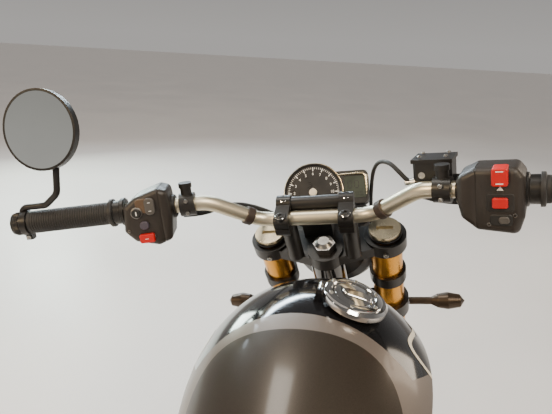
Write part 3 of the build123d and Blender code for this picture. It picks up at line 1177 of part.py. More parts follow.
def exhaust():
    """Header pipe from the head, under the right side, to a banded silencer."""
    face = CYLINDER_HALF + HEAD_GROW[1]
    port = CYLINDER.from_local_coords(Vector(PORT_X, face + FIT, DECK + PORT_RISE))
    bend = CYLINDER.from_local_coords(Vector(PORT_X, face + HEADER_OUT, DECK + PORT_RISE))
    header = bent([port, bend, *HEADER], HEADER_BENDS, HEADER_RADIUS)
    axis = Vector(*SILENCER_END) - Vector(*SILENCER_START)
    barrel = axis.length - SILENCER_TAPER - SILENCER_CAP[1]
    can = Cone(SILENCER_NECK, SILENCER_RADIUS, SILENCER_TAPER, align=UP_FROM)
    can += Pos(0, 0, SILENCER_TAPER) * Cylinder(SILENCER_RADIUS, barrel, align=UP_FROM)
    can += Pos(0, 0, SILENCER_TAPER + barrel) * Cone(SILENCER_RADIUS, *SILENCER_CAP, align=UP_FROM)
    outlet, deep = SILENCER_OUTLET
    can -= Pos(0, 0, axis.length) * Cylinder(outlet, 2 * deep)
    for place in SILENCER_BANDS:
        can += Pos(0, 0, place) * Cylinder(*SILENCER_BAND, align=UP_FROM)
    keep("exhaust", header + Plane(origin=SILENCER_START, z_dir=axis) * can)


def lofted(sections):
    """A body along y from sections of half width, top, widest height, bottom and its half width."""
    faces = []
    for y, half, top, waist, bottom, foot in sections:
        outline = [
            ThreePointArc((-half, waist), (0, top), (half, waist)),
            Line((half, waist), (foot, bottom)),
            Line((foot, bottom), (-foot, bottom)),
            Line((-foot, bottom), (-half, waist)),
        ]
        faces.append(Plane(origin=(0, y, 0), x_dir=(1, 0, 0), z_dir=(0, -1, 0)) * make_face(outline))
    return loft(faces)


def surface_height(solid, x, y):
    """Where a vertical line at x, y leaves the top of a solid."""
    line = Edge.make_line((x, y, TANK_FLOOR), (x, y, 2 * TANK_FLOOR))
    return max(edge.bounding_box().max.Z for edge in (solid & line).edges())


tank_body = lofted(TANK_SECTIONS) - block((-FAR, FAR), (-FAR, FAR), (0, TANK_FLOOR))
step = LID_RADIUS / 2
filler_x, filler_y = FILLER
filler_z = surface_height(tank_body, filler_x, filler_y)
right_z, left_z = (surface_height(tank_body, filler_x + shift, filler_y) for shift in (step, -step))
front_z, back_z = (surface_height(tank_body, filler_x, filler_y + shift) for shift in (step, -step))
filler_up = Vector(left_z - right_z, back_z - front_z, 2 * step).normalized()
# Flush with the tank's top at the filler: local z out of the tank, local x to the right
filler_right = (filler_up.Z, 0, -filler_up.X)
FILLER_PLANE = Plane(origin=(filler_x, filler_y, filler_z), x_dir=filler_right, z_dir=filler_up)
HINGE = (-LID_RADIUS - HINGE_OUT, LID_SEAT + HINGE_RADIUS)


def tank():
    """Fuel tank with a flat floor, a filler neck and hinge ears, and the hinged lid over it."""
    neck = Cylinder(NECK_RADIUS, LID_SEAT - FIT + NECK_ROOT, align=UP_FROM)
    shape = tank_body + FILLER_PLANE * Pos(0, 0, -NECK_ROOT) * neck
    shape -= FILLER_PLANE * Pos(0, 0, -NECK_DEEP) * Cylinder(NECK_BORE, 2 * NECK_DEEP, align=UP_FROM)
    hinge_x, hinge_z = HINGE
    pin_half = KNUCKLE_HALF + FIT + HINGE_EAR
    along = Rot(90, 0, 0)
    hinge = Pos(hinge_x, 0, hinge_z) * along * Cylinder(HINGE_PIN, 2 * pin_half)
    for side in (-1, 1):
        place = side * (KNUCKLE_HALF + FIT + HINGE_EAR / 2)
        hinge += Pos(hinge_x, place, hinge_z) * along * Cylinder(HINGE_RADIUS, HINGE_EAR)
        hinge += Pos(hinge_x, place, (hinge_z - HINGE_ROOT) / 2) * Box(2 * HINGE_RADIUS, HINGE_EAR,
                                                                      hinge_z + HINGE_ROOT)
    keep("fuel_tank", shape + FILLER_PLANE * hinge)
    lid = turned([(0, LID_SEAT), (LID_RADIUS, LID_SEAT), (LID_RADIUS, LID_SEAT + LID_THICKNESS - LID_EDGE),
                  (LID_RADIUS - LID_EDGE, LID_SEAT + LID_THICKNESS), (0, LID_SEAT + LID_THICKNESS)])
    reach = LID_RADIUS + HINGE_OUT - LID_STEP
    knuckle = Pos(hinge_x, 0, hinge_z) * along * Cylinder(HINGE_RADIUS, 2 * KNUCKLE_HALF)
    knuckle += Pos(hinge_x + reach / 2, 0, hinge_z) * Box(reach, 2 * KNUCKLE_HALF, HINGE_RADIUS)
    bore = Pos(hinge_x, 0, hinge_z) * along * Cylinder(HINGE_PIN + RUNNING, 4 * KNUCKLE_HALF)
    keep("fuel_cap", FILLER_PLANE * (lid + knuckle - bore))


def seat():
    """Bench seat with a pillion step, resting on the rear rails, and the side covers."""
    sections = []
    for y, half, top, bottom in SEAT_SECTIONS:
        sections.append((y, half, top, top - SEAT_CROWN, bottom, half * SEAT_TUCK))
    shape = lofted(sections)
    up = RAIL_RADIUS + FIT
    below = [(FAR, rail_height(FAR) + up), (-FAR, rail_height(-FAR) + up), (-FAR, -FAR), (FAR, -FAR)]
    keep("seat", shape - side_plate(below, -FAR, FAR))
    out = RAIL_PLAN[0][0] + RAIL_RADIUS + FIT
    keep("side_covers", *both_sides(side_plate(SIDE_COVER, out, out + SIDE_COVER_WALL)))


def tail():
    """Plate hanger, tail lamp and their mounting under the seat's end."""
    outline = [(y, rail_height(y) + over) for y, over in HANGER_TOP] + list(HANGER_LOW)
    hanger = side_plate(outline, -HANGER_HALF, HANGER_HALF)
    reach = 2 * HANGER_HALF
    tail_z = rail_height(TAIL_CROSS_Y)
    hanger -= rod((-reach, TAIL_CROSS_Y, tail_z), (reach, TAIL_CROSS_Y, tail_z), TAIL_CROSS_RADIUS + FIT)
    keep("tail_unit", hanger)
    top = rail_height(HANGER_TOP[-1][0]) + HANGER_TOP[-1][1] + FIT
    lamp = block((-TAIL_LAMP_HALF, TAIL_LAMP_HALF), TAIL_LAMP_Y, (top, top + TAIL_LAMP_HEIGHT))
    keep("tail_lamp", fillet(lamp.edges().filter_by(Axis.X).sort_by(Axis.Y)[:2], TAIL_LAMP_EDGE))


def foot_controls():
    """Rider and passenger footrests, gear lever and brake pedal."""
    outer = plate_out + FIT
    pegs = []
    bracket = side_plate(REST_BRACKET, outer, outer + REST_PLATE)
    rest = bracket + rod((outer + REST_PLATE / 2, *REST), (outer + REST_LENGTH, *REST), REST_RADIUS)
    pegs.extend(both_sides(rest))
    x = RAIL_PLAN[1][0] + RAIL_RADIUS + PILLION_OUT
    outline = [(y, rail_height(y) + over) for y, over in PILLION_OUTER] + list(PILLION_FOOT)
    plate = side_plate(outline, x, x + PILLION_PLATE)
    plate -= side_plate(PILLION_WINDOW, x - 1, x + PILLION_PLATE + 1)
    middle = x + PILLION_PLATE / 2
    for y in PILLION_BOSSES:
        height = rail_height(y)
        inner = rail_x(y) + RAIL_RADIUS + SIDE_GAP
        plate += rod((inner, y, height), (middle, y, height), PILLION_BOSS_RADIUS)
    plate += rod((middle, *PILLION), (middle + PILLION_LENGTH, *PILLION), PILLION_RADIUS)
    pegs.extend(both_sides(plate))
    keep("footrests", *pegs)
    toe = bent([(outer + out, y, z) for out, y, z in PEDAL], [PEDAL_BEND], PEDAL_RADIUS)
    near, far = PEDAL_TIP_REACH
    toe += rod((outer + near, *PEDAL_TIP), (outer + far, *PEDAL_TIP), PEDAL_PAD)
    toe += rod((outer + REST_PLATE + FIT, *PEDAL_PIVOT), (outer + PEDAL[-1][0], *PEDAL_PIVOT), PEDAL_PAD)
    keep("foot_controls", *both_sides(toe))


def chain_pins():
    """The pins' places in y and z round both sprockets, and which lie on the straight runs."""
    rear, front = Vector(REAR_AXLE_Y, REAR_AXLE_Z), Vector(*FRONT_SPROCKET)
    big, small = pitch_radius(REAR_TEETH), pitch_radius(FRONT_TEETH)
    gap = front - rear
    base = math.atan2(gap.Y, gap.X)
    turn = math.acos((big - small) / gap.length)
    run = gap.length * math.sin(turn)
    wrap_small, wrap_big = small * 2 * turn, big * 2 * (math.pi - turn)
    total = 2 * run + wrap_small + wrap_big
    count = 2 * round(total / CHAIN_PITCH / 2)
    lean_in = base - turn
    start = rear + Vector(math.cos(lean_in), math.sin(lean_in)) * big
    top = front + Vector(math.cos(base + turn), math.sin(base + turn)) * small
    pins = []
    for number in range(count):
        along = total * number / count
        if along < run:
            way = Vector(-math.sin(lean_in), math.cos(lean_in))
            pins.append((start + way * along, REAR_PINS < along < run - FRONT_PINS))
        elif along < run + wrap_small:
            angle = lean_in + (along - run) / small
            pins.append((front + Vector(math.cos(angle), math.sin(angle)) * small, False))
        elif along < 2 * run + wrap_small:
            way = Vector(-math.sin(base + turn), math.cos(base + turn))
            back = along - run - wrap_small
            pins.append((top + way * back, FRONT_PINS < back < run - REAR_PINS))
        else:
            angle = base + turn + (along - 2 * run - wrap_small) / big
            pins.append((rear + Vector(math.cos(angle), math.sin(angle)) * big, False))
    return pins


def chain_edge(places, side):
    """One edge of the row of link plates: a round end at each pin and a waist between pins."""
    inward = math.sqrt(CHAIN_PLATE_HALF**2 - CHAIN_WAIST**2)
    edges, ends = [], []
    for number, pin in enumerate(places):
        before = (pin - places[number - 1]).normalized()
        after = (places[(number + 1) % len(places)] - pin).normalized()
        out_before, out_after = Vector(before.Y, -before.X) * side, Vector(after.Y, -after.X) * side
        start = pin - before * inward + out_before * CHAIN_WAIST
        tip = pin + (out_before + out_after).normalized() * CHAIN_PLATE_HALF
        end = pin + after * inward + out_after * CHAIN_WAIST
        ends.append((start, end))
        edges.append(ThreePointArc(start, tip, end))
    for number, (start, end) in enumerate(ends):
        edges.append(Line(ends[number - 1][1], start))
    return make_face(edges)


def chain():
    """Two rows of waisted link plates round both sprockets, joined by pins on the straight runs."""
    pins = chain_pins()
    places = [place for place, straight in pins]
    band = chain_edge(places, 1) - chain_edge(places, -1)
    inner = SPROCKET_THICKNESS / 2 + FIT
    outer = inner + CHAIN_PLATE
    rows = []
    for low in (-outer, inner):
        side = Plane(origin=(CHAIN_X + low, 0, 0), x_dir=(0, 1, 0), z_dir=(1, 0, 0))
        rows.append(extrude(side * band, CHAIN_PLATE))
    shape = rows[0] + rows[1]
    for place, straight in pins[::2]:
        if straight:
            shape += rod((CHAIN_X - outer, place.X, place.Y), (CHAIN_X + outer, place.X, place.Y), CHAIN_PIN)
    keep("chain", shape)
    y, z = FRONT_SPROCKET
    hub = Plane(origin=(CHAIN_X, y, z), x_dir=(0, 1, 0), z_dir=(1, 0, 0))
    wheel = hub * sprocket(FRONT_TEETH, SPROCKET_THICKNESS)
    keep("front_sprocket", wheel + rod((CHAIN_X, y, z), (-CASE_HALF - FIT, y, z), SPROCKET_SHAFT))


def side_stand():
    """Stand leg from its pivot on the frame's lug down to a flat foot on the floor."""
    up = Vector(math.sin(lean), 0, math.cos(lean))
    eye = stand_turn * STAND_EYE / 2
    leg = rod(stand_pivot - eye, stand_pivot + eye, STAND_EYE_RADIUS)
    along = (stand_ground - stand_pivot).normalized()
    wide, long, thick = STAND_PAD
    leg += rod(stand_pivot + along * STAND_RADIUS, stand_ground + up * thick, STAND_RADIUS)
    foot = Plane(origin=stand_ground, x_dir=(math.cos(lean), 0, -math.sin(lean)), z_dir=up)
    leg += foot * extrude(RectangleRounded(wide, long, STAND_PAD_CORNER), thick)
    leg -= foot * Pos(0, 0, -3 * thick) * Box(3 * wide, 3 * long, 3 * thick, align=UP_FROM)
    keep("side_stand", leg)


def hoses():
    """Brake hose to the front caliper and the two looms from the switchgear to the headlamp."""
    keep("brake_hose", STEER * hose(BRAKE_HOSE, BRAKE_HOSE_RADIUS))
    keep("left_loom", STEER * hose(LEFT_LOOM, LOOM_RADIUS))
    keep("right_loom", STEER * hose(RIGHT_LOOM, LOOM_RADIUS))


for make in (front_wheel, rear_wheel, fork, brakes, handlebar, controls, instrument, headlamp, mudguard,
             indicators, frame, swingarm, shock, engine, airbox, radiator, exhaust, tank, seat, tail,
             foot_controls, chain, side_stand, hoses):
    make()

leaned = {name: [Rot(0, -LEAN, 0) * solid for solid in solids] for name, solids in nodes.items()}
boxes = [solid.bounding_box() for solids in leaned.values() for solid in solids]
ORIGIN_X = (min(box.min.X for box in boxes) + max(box.max.X for box in boxes)) / 2
ORIGIN_Y = (min(box.min.Y for box in boxes) + max(box.max.Y for box in boxes)) / 2

os.makedirs("parts", exist_ok=True)
for name, solids in leaned.items():
    placed = [Pos(-ORIGIN_X, -ORIGIN_Y, 0) * solid for solid in solids]
    shape = placed[0] if len(placed) == 1 else Compound(children=placed)
    export_step(shape, f"parts/{name}.step")
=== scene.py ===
import json
import math

import bmesh
import bpy
from mathutils import Matrix, Vector
from mathutils.bvhtree import BVHTree


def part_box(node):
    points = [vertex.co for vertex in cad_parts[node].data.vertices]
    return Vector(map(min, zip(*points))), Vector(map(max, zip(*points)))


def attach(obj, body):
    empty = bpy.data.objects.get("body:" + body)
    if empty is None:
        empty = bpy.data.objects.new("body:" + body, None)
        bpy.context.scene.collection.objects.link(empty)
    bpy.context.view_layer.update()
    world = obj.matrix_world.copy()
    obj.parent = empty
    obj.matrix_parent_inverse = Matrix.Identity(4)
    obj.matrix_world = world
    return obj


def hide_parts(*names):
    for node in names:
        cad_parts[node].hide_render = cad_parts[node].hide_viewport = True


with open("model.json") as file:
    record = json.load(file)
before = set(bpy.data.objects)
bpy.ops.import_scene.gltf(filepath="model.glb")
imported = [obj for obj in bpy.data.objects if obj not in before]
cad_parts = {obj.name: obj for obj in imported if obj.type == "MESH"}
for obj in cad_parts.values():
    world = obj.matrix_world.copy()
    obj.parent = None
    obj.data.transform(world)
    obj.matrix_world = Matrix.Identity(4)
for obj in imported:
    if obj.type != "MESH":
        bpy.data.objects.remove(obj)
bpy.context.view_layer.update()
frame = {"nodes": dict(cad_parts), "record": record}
nodes = frame["nodes"]

MM = 0.001
SMOOTH_ANGLE = math.radians(35)

# The upright machine's own axes, read from the front axle's bore: x right, y forward of the swingarm's
# pivot, z up. The pieces below are drawn there in millimetres, as in the part's source
FRAME_REACH = 832.0
FRONT_AXLE_Z = 293.9711
REAR_AXLE = (0.0, -545.0, 307.3112)
RAKE = math.radians(24.6)
AXIS_FOOT_Y = 934.475
bore = next(mount for mount in frame["record"]["mounts"] if mount["name"] == "front_axle_bore")
right = Vector(bore["axis"]).normalized()
forward = Vector((0, 1, 0))
up = right.cross(forward).normalized()
turned_up = Matrix((right, forward, up)).transposed()
origin = Vector(bore["pos_m"]) - turned_up @ Vector((0, FRAME_REACH, FRONT_AXLE_Z)) * MM
MACHINE = Matrix.Translation(origin) @ turned_up.to_4x4() @ Matrix.Scale(MM, 4)

# The same machine in steering coordinates: x right, t forward of the steering axis, u up it
FORWARD_OF_AXIS = Vector((0, math.cos(RAKE), math.sin(RAKE)))
UP_AXIS = Vector((0, -math.sin(RAKE), math.cos(RAKE)))
STEER = MACHINE @ Matrix.Translation((0, AXIS_FOOT_Y, 0)) @ Matrix.Rotation(RAKE, 4, "X")


def axes(place, x_way, z_way):
    """A matrix on the machine from a place and two directions, z_way kept exact."""
    z = Vector(z_way).normalized()
    x = Vector(x_way)
    x = (x - z * x.dot(z)).normalized()
    turned = Matrix((x, z.cross(x), z)).transposed().to_4x4()
    return Matrix.Translation(place) @ turned


def steer_point(x, t, u):
    """A point in steering coordinates, on the upright machine."""
    return Vector((x, AXIS_FOOT_Y, 0)) + FORWARD_OF_AXIS * t + UP_AXIS * u


# Controls on the right half of the bar: local x forward, y up, z outward along the bar
BAR_CENTRE = (85.0, -22.7, 1078.3)
BAR_BEND = (150.0, -40.8, 1137.2)
BAR_END = (397.0, -107.0, 1175.2)
BAR_BORE = 11.3
bar_bend, bar_end = steer_point(*BAR_BEND), steer_point(*BAR_END)
bar_out = (bar_end - bar_bend).normalized()
BAR_REACH = (bar_end - bar_bend).length
CONTROLS = axes(bar_bend, (-bar_out.y, bar_out.x, 0), bar_out)
MIRRORED = Matrix.Scale(-1, 4, (1, 0, 0))
HANDS = {"right": MACHINE @ CONTROLS, "left": MACHINE @ MIRRORED @ CONTROLS}
FRONT_HUB = MACHINE @ axes((0, FRAME_REACH, FRONT_AXLE_Z), (0, 1, 0), (1, 0, 0))
REAR_HUB = MACHINE @ axes(REAR_AXLE, (0, 1, 0), (1, 0, 0))


# Materials

LOOKS = {}
NOISE_ROUGHNESS = 0.55
GRAIN_SHARE = 0.35
DUST_PALE = 0.02


def plug(tree, node, inputs):
    """Sets a node's inputs, each to a number, a colour or another node's output."""
    for key, value in inputs.items():
        if isinstance(value, bpy.types.NodeSocket):
            tree.links.new(value, node.inputs[key])
        else:
            node.inputs[key].default_value = value


def node_of(tree, kind, inputs=None, **settings):
    """A new shader node with its settings and inputs."""
    found = tree.nodes.new(kind)
    for name, value in settings.items():
        setattr(found, name, value)
    plug(tree, found, inputs or {})
    return found


def noise(tree, place, scale, detail=3.0):
    """A noise value over a place."""
    inputs = {"Vector": place, "Scale": scale, "Detail": detail, "Roughness": NOISE_ROUGHNESS}
    return node_of(tree, "ShaderNodeTexNoise", inputs).outputs["Fac"]


def spread(tree, value, low, high, start=0.3, end=0.7):
    """Maps a value between start and end onto low to high."""
    inputs = {"Value": value, "From Min": start, "From Max": end, "To Min": low, "To Max": high}
    return node_of(tree, "ShaderNodeMapRange", inputs).outputs["Result"]


def blend(tree, factor, first, second):
    """A mix of two colours."""
    inputs = {"Factor": factor, "A": first, "B": second}
    return node_of(tree, "ShaderNodeMix", inputs, data_type="RGBA").outputs["Result"]


def finish(name, colour, rough, metal=0.0, vary=0.12, patch=9.0, grain=900.0, bump=0.1, deep=0.15, coat=0.0,
           stretch=(1, 1, 1), sheen=0.0, dust=0.0, edge=0.5, clear=0.0):
    """A procedural material: broad colour and gloss variation, fine grain in relief, softened edges.

    Patch and grain are scales of noise; deep, the grain's relief, and edge are in millimetres.
    """
    made = bpy.data.materials.new(name)
    made.use_nodes = True
    tree = made.node_tree
    place = fine_place = node_of(tree, "ShaderNodeTexCoord").outputs["Object"]
    if stretch != (1, 1, 1):
        fine_place = node_of(tree, "ShaderNodeMapping", {"Vector": place, "Scale": stretch}).outputs["Vector"]
    broad = noise(tree, place, patch)
    fine = noise(tree, fine_place, grain, 2.0)
    dark = [c * (1 - vary) for c in colour]
    pale = [min(1.0, c * (1 + vary) + dust * DUST_PALE) for c in colour]
    mixed = node_of(tree, "ShaderNodeMath", {0: fine, 1: GRAIN_SHARE, 2: broad}, operation="MULTIPLY_ADD")
    gloss = spread(tree, mixed.outputs[0], max(0.02, rough * 0.8), min(1.0, rough * 1.25), 0.4, 0.9)
    relief = {"Strength": bump, "Distance": deep * MM, "Height": fine}
    if edge:
        rounding = node_of(tree, "ShaderNodeBevel", {"Radius": edge * MM}, samples=4)
        relief["Normal"] = rounding.outputs["Normal"]
    plug(tree, tree.nodes["Principled BSDF"], {
        "Base Color": blend(tree, spread(tree, broad, 0, 1), (*dark, 1), (*pale, 1)),
        "Roughness": gloss,
        "Normal": node_of(tree, "ShaderNodeBump", relief).outputs["Normal"],
        "Metallic": metal,
        "Coat Weight": coat,
        "Coat Roughness": 0.04,
        "Sheen Weight": sheen,
        "Transmission Weight": clear,
        "IOR": 1.5,
    })
    LOOKS[name] = made
    return made


# Name, colour, roughness, metal, variation, its scale, the grain's scale, its relief and depth
finish("satin_black", (0.012, 0.011, 0.0105), 0.36, 0.1, 0.3, 14, 1400, 0.1)
finish("gloss_black", (0.008, 0.008, 0.009), 0.13, 0.0, 0.2, 8, 500, 0.02, coat=0.8)
finish("black_alloy", (0.014, 0.014, 0.015), 0.27, 0.5, 0.3, 14, 900, 0.1, coat=0.2)
finish("cast_black", (0.02, 0.02, 0.021), 0.45, 0.5, 0.25, 20, 700, 0.35)
finish("textured", (0.024, 0.0195, 0.0165), 0.4, 0.0, 0.2, 20, 1600, 0.45, 0.25)
finish("plastic", (0.016, 0.016, 0.016), 0.48, 0.0, 0.2, 14, 1500, 0.3, 0.2)
finish("rubber", (0.013, 0.012, 0.012), 0.62, 0.0, 0.25, 25, 1200, 0.35, 0.2, sheen=0.1)
finish("brown_rubber", (0.035, 0.022, 0.016), 0.55, 0.0, 0.2, 40, 1200, 0.3, 0.2)
finish("chrome", (0.82, 0.8, 0.77), 0.08, 1.0, 0.05, 12, 400, 0.01, edge=0)
finish("bar", (0.66, 0.6, 0.46), 0.36, 1.0, 0.06, 5, 700, 0.05, 0.02, edge=0)
finish("champagne", (0.76, 0.66, 0.46), 0.27, 1.0, 0.08, 20, 700, 0.05, 0.03, edge=0)
finish("gold", (0.75, 0.36, 0.06), 0.26, 1.0, 0.1, 9, 600, 0.015, 0.02, edge=0)
finish("steel", (0.46, 0.45, 0.43), 0.3, 1.0, 0.12, 16, 800, 0.12)
finish("dark_steel", (0.2, 0.19, 0.18), 0.36, 1.0, 0.2, 20, 800, 0.15)
finish("disc", (0.5, 0.49, 0.47), 0.28, 1.0, 0.12, 16, 1500, 0.2, 0.08)
finish("exhaust", (0.5, 0.45, 0.38), 0.25, 1.0, 0.25, 6, 300, 0.05, 0.04, edge=0)
finish("bronze", (0.06, 0.042, 0.028), 0.3, 0.6, 0.2, 20, 900, 0.1)
finish("chain", (0.3, 0.25, 0.16), 0.38, 1.0, 0.25, 60, 900, 0.2)
finish("radiator", (0.03, 0.03, 0.03), 0.5, 0.6, 0.2, 20, 300, 0.5, 0.4, stretch=(1, 1, 8))
finish("mirror", (0.8, 0.82, 0.78), 0.03, 1.0, 0.03, 9, 50, 0.0, edge=0)
finish("dial", (0.02, 0.02, 0.021), 0.3, 0.0, 0.2, 30, 900, 0.05, coat=1.0, edge=0)
finish("tan_rubber", (0.1, 0.062, 0.036), 0.45, 0.0, 0.15, 40, 1400, 0.25, 0.2)
finish("display", (0.06, 0.07, 0.055), 0.2, 0.0, 0.15, 30, 900, 0.02, coat=1.0, edge=0)
finish("lens", (0.85, 0.88, 0.9), 0.06, 0.0, 0.04, 10, 160, 0.4, 0.8, clear=0.75)
finish("red_lens", (0.4, 0.01, 0.008), 0.12, 0.0, 0.1, 20, 260, 0.5, 0.8, coat=0.6)
finish("red", (0.56, 0.004, 0.003), 0.42, 0.0, 0.08, 40, 1400, 0.15)
finish("grey_button", (0.075, 0.07, 0.066), 0.45, 0.0, 0.12, 40, 1400, 0.2)
finish("violet_button", (0.07, 0.06, 0.085), 0.45, 0.0, 0.12, 40, 1400, 0.2)
finish("white", (0.85, 0.85, 0.83), 0.5, 0.0, 0.05, 40, 1400, 0.05, edge=0)
finish("cream", (0.8, 0.72, 0.56), 0.3, 0.0, 0.05, 40, 900, 0.02, coat=0.4, edge=0)
finish("leather", (0.02, 0.017, 0.015), 0.42, 0.0, 0.25, 18, 420, 0.5, 0.6, sheen=0.15)
finish("thread", (0.1, 0.09, 0.075), 0.7, 0.0, 0.2, 200, 2500, 0.4, 0.2)
finish("tyre", (0.018, 0.018, 0.018), 0.68, 0.0, 0.25, 14, 900, 0.35, 0.25, dust=0.6)
finish("spring", (0.55, 0.52, 0.45), 0.35, 0.3, 0.08, 20, 900, 0.1)
finish("plate", (0.62, 0.62, 0.6), 0.4, 0.0, 0.05, 20, 900, 0.05)

NODE_LOOKS = {
    "satin_black": "top_yoke bottom_yoke bar_clamps clutch_lever_set brake_lever_set bar_end_mirrors "
                   "fork_legs front_caliper rear_caliper footrests side_stand headlamp",
    "gloss_black": "frame",
    "black_alloy": "front_rim rear_rim swingarm",
    "cast_black": "engine_case engine_cylinder",
    "textured": "left_switchgear right_switchgear",
    "plastic": "side_covers tail_unit airbox front_mudguard instrument",
    "chrome": "fuel_cap",
    "bar": "handlebar",
    "champagne": "fork_caps",
    "gold": "fork_tubes",
    "steel": "front_axle rear_axle stem_nut",
    "dark_steel": "foot_controls rear_sprocket front_sprocket",
    "disc": "front_disc rear_disc",
    "exhaust": "exhaust",
    "bronze": "front_indicators rear_indicators",
    "chain": "chain",
    "radiator": "radiator",
    "mirror": "mirror_glasses",
    "dial": "instrument_glass",
    "lens": "headlamp_lens",
    "red_lens": "tail_lamp",
    "tyre": "front_tyre rear_tyre",
    "rubber": "grips",
    "leather": "seat",
    "spring": "rear_shock",
}


def wear(obj, look):
    """Gives a piece or a node one material all over."""
    obj.data.materials.clear()
    obj.data.materials.append(look)


for look, names in NODE_LOOKS.items():
    for name in names.split():
        wear(nodes[name], LOOKS[look])

# Edges of the tank's colours, in metres on the upright machine
BAND_HEIGHT, BAND_LEAN, BAND_EDGE = 0.9178, 0.449, 0.2775
PANEL_HEIGHT, PANEL_CURVE, PANEL_EDGE = 0.913, 13.0, 0.253
KNEE_BACK, KNEE_LEAN, KNEE_TOP = 0.249, 0.53, 0.857
KNEE_FRONT, KNEE_OUT = 0.2855, 0.1


def tank_paint():
    """Gloss black front, a lighter matt band that arches over the tank, and a darker panel behind it."""
    made = finish("tank_paint", (0.008, 0.008, 0.009), 0.09, 0.0, 0.2, 6, 300, 0.0, coat=1.0, edge=0)
    tree = made.node_tree
    place = node_of(tree, "ShaderNodeTexCoord").outputs["Object"]
    flakes = spread(tree, noise(tree, place, 2600, 2.0), 0, 1)

    def vector_calc(kind, first, second, output):
        return node_of(tree, "ShaderNodeVectorMath", {0: first, 1: second}, operation=kind).outputs[output]

    def calc(kind, *values):
        return node_of(tree, "ShaderNodeMath", dict(enumerate(values)), operation=kind).outputs[0]

    def paint(low, high):
        return blend(tree, flakes, (*low, 1), (*high, 1))

    shift = vector_calc("SUBTRACT", place, origin, "Vector")
    x, y, z = (vector_calc("DOT_PRODUCT", shift, way, "Value") for way in (right, forward, up))
    arch = calc("MULTIPLY_ADD", calc("SUBTRACT", BAND_HEIGHT, z), BAND_LEAN, y)
    drop = calc("SUBTRACT", PANEL_HEIGHT, z)
    inner = calc("MULTIPLY_ADD", calc("MULTIPLY", drop, drop), PANEL_CURVE, y)
    panel = calc("LESS_THAN", inner, PANEL_EDGE)
    slope = calc("MULTIPLY_ADD", calc("SUBTRACT", y, KNEE_BACK), KNEE_LEAN, z)
    knee = calc("MULTIPLY", calc("LESS_THAN", slope, KNEE_TOP), calc("LESS_THAN", y, KNEE_FRONT))
    knee = calc("MULTIPLY", knee, calc("GREATER_THAN", calc("ABSOLUTE", x), KNEE_OUT))
    matt = calc("MAXIMUM", calc("LESS_THAN", arch, BAND_EDGE), knee)
    colour = paint((0.006, 0.006, 0.007), (0.009, 0.009, 0.01))
    colour = blend(tree, matt, colour, paint((0.17, 0.142, 0.122), (0.215, 0.182, 0.158)))
    colour = blend(tree, panel, colour, paint((0.03, 0.0235, 0.0175), (0.066, 0.052, 0.039)))
    rough = calc("SUBTRACT", calc("MULTIPLY_ADD", matt, 0.34, 0.08), calc("MULTIPLY", panel, 0.08))
    plug(tree, tree.nodes["Principled BSDF"], {
        "Base Color": colour,
        "Roughness": calc("MULTIPLY_ADD", noise(tree, place, 18), 0.04, rough),
        "Metallic": calc("MULTIPLY", matt, 0.55),
        "Coat Weight": 0.35,
        "Coat Roughness": 0.12,
    })
    return made


wear(nodes["fuel_tank"], tank_paint())


# Piece builders, in millimetres in the axes of a given matrix

def added(name, data):
    """A new object in the scene."""
    obj = bpy.data.objects.new(name, data)
    bpy.context.scene.collection.objects.link(obj)
    return obj


def surface(obj):
    """An object's faces, to be met by rays and nearest points."""
    return BVHTree.FromObject(obj, bpy.context.evaluated_depsgraph_get())


def met(skin, starts, way):
    """The points and normals where rays from places on the machine meet a surface."""
    hits = [skin.ray_cast(MACHINE @ Vector(start), way)[:2] for start in starts]
    return [(place, normal) for place, normal in hits if place is not None]


def piece(name, mesh, matrix, look, body, smooth=True, bevel=0.0):
    """A new piece from a bmesh, placed by matrix and riding on a body."""
    mesh.transform(matrix)
    if matrix.determinant() < 0:
        bmesh.ops.reverse_faces(mesh, faces=mesh.faces)
    data = bpy.data.meshes.new(name)
    mesh.to_mesh(data)
    mesh.free()
    obj = added(name, data)
    if smooth:
        data.shade_smooth()
        data.set_sharp_from_angle(angle=SMOOTH_ANGLE)
    if bevel:
        softened = obj.modifiers.new("bevel", "BEVEL")
        softened.width = bevel * MM
        softened.segments = 2
        softened.limit_method = "ANGLE"
        softened.angle_limit = SMOOTH_ANGLE
    wear(obj, LOOKS[look])
    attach(obj, body)
    return obj


def around(radius, angle):
    """The x and y of a point on a circle."""
    return radius * math.cos(angle), radius * math.sin(angle)


def full_turn(count):
    """Evenly spaced angles round a circle."""
    return [2 * math.pi * k / count for k in range(count)]


def anticlockwise(outline):
    """The same outline, run anticlockwise."""
    area = sum(a[0] * b[1] - b[0] * a[1] for a, b in zip(outline, outline[1:] + outline[:1]))
    return outline[::-1] if area < 0 else outline


def lifted(profile, by):
    """A lathe's profile moved along its axis."""
    return [(radius, height + by) for radius, height in profile]


def heading(points, k):
    """The direction of a line of points at its point k."""
    return (Vector(points[min(k + 1, len(points) - 1)]) - Vector(points[max(k - 1, 0)])).normalized()


def lathe(mesh, profile, count=48, matrix=Matrix()):
    """Adds a solid of revolution about local z; profile is radius and height, closed at radius 0."""
    rings = []
    for radius, height in profile:
        circle = [around(radius, angle) for angle in full_turn(count)] if radius else [(0, 0)]
        rings.append([mesh.verts.new(matrix @ Vector((x, y, height))) for x, y in circle])
    for low, high in zip(rings, rings[1:]):
        for k in range(count):
            n = (k + 1) % count
            if len(low) == 1:
                mesh.faces.new((low[0], high[n], high[k]))
            elif len(high) == 1:
                mesh.faces.new((low[k], low[n], high[0]))
            else:
                mesh.faces.new((low[k], low[n], high[n], high[k]))
    return mesh


def stack(mesh, rings):
    """Adds the faces of a closed body through rings of points, with flat ends."""
    for low, high in zip(rings, rings[1:]):
        for k in range(len(low)):
            n = (k + 1) % len(low)
            mesh.faces.new((low[k], low[n], high[n], high[k]))
    mesh.faces.new(rings[0][::-1])
    mesh.faces.new(rings[-1])
    return mesh


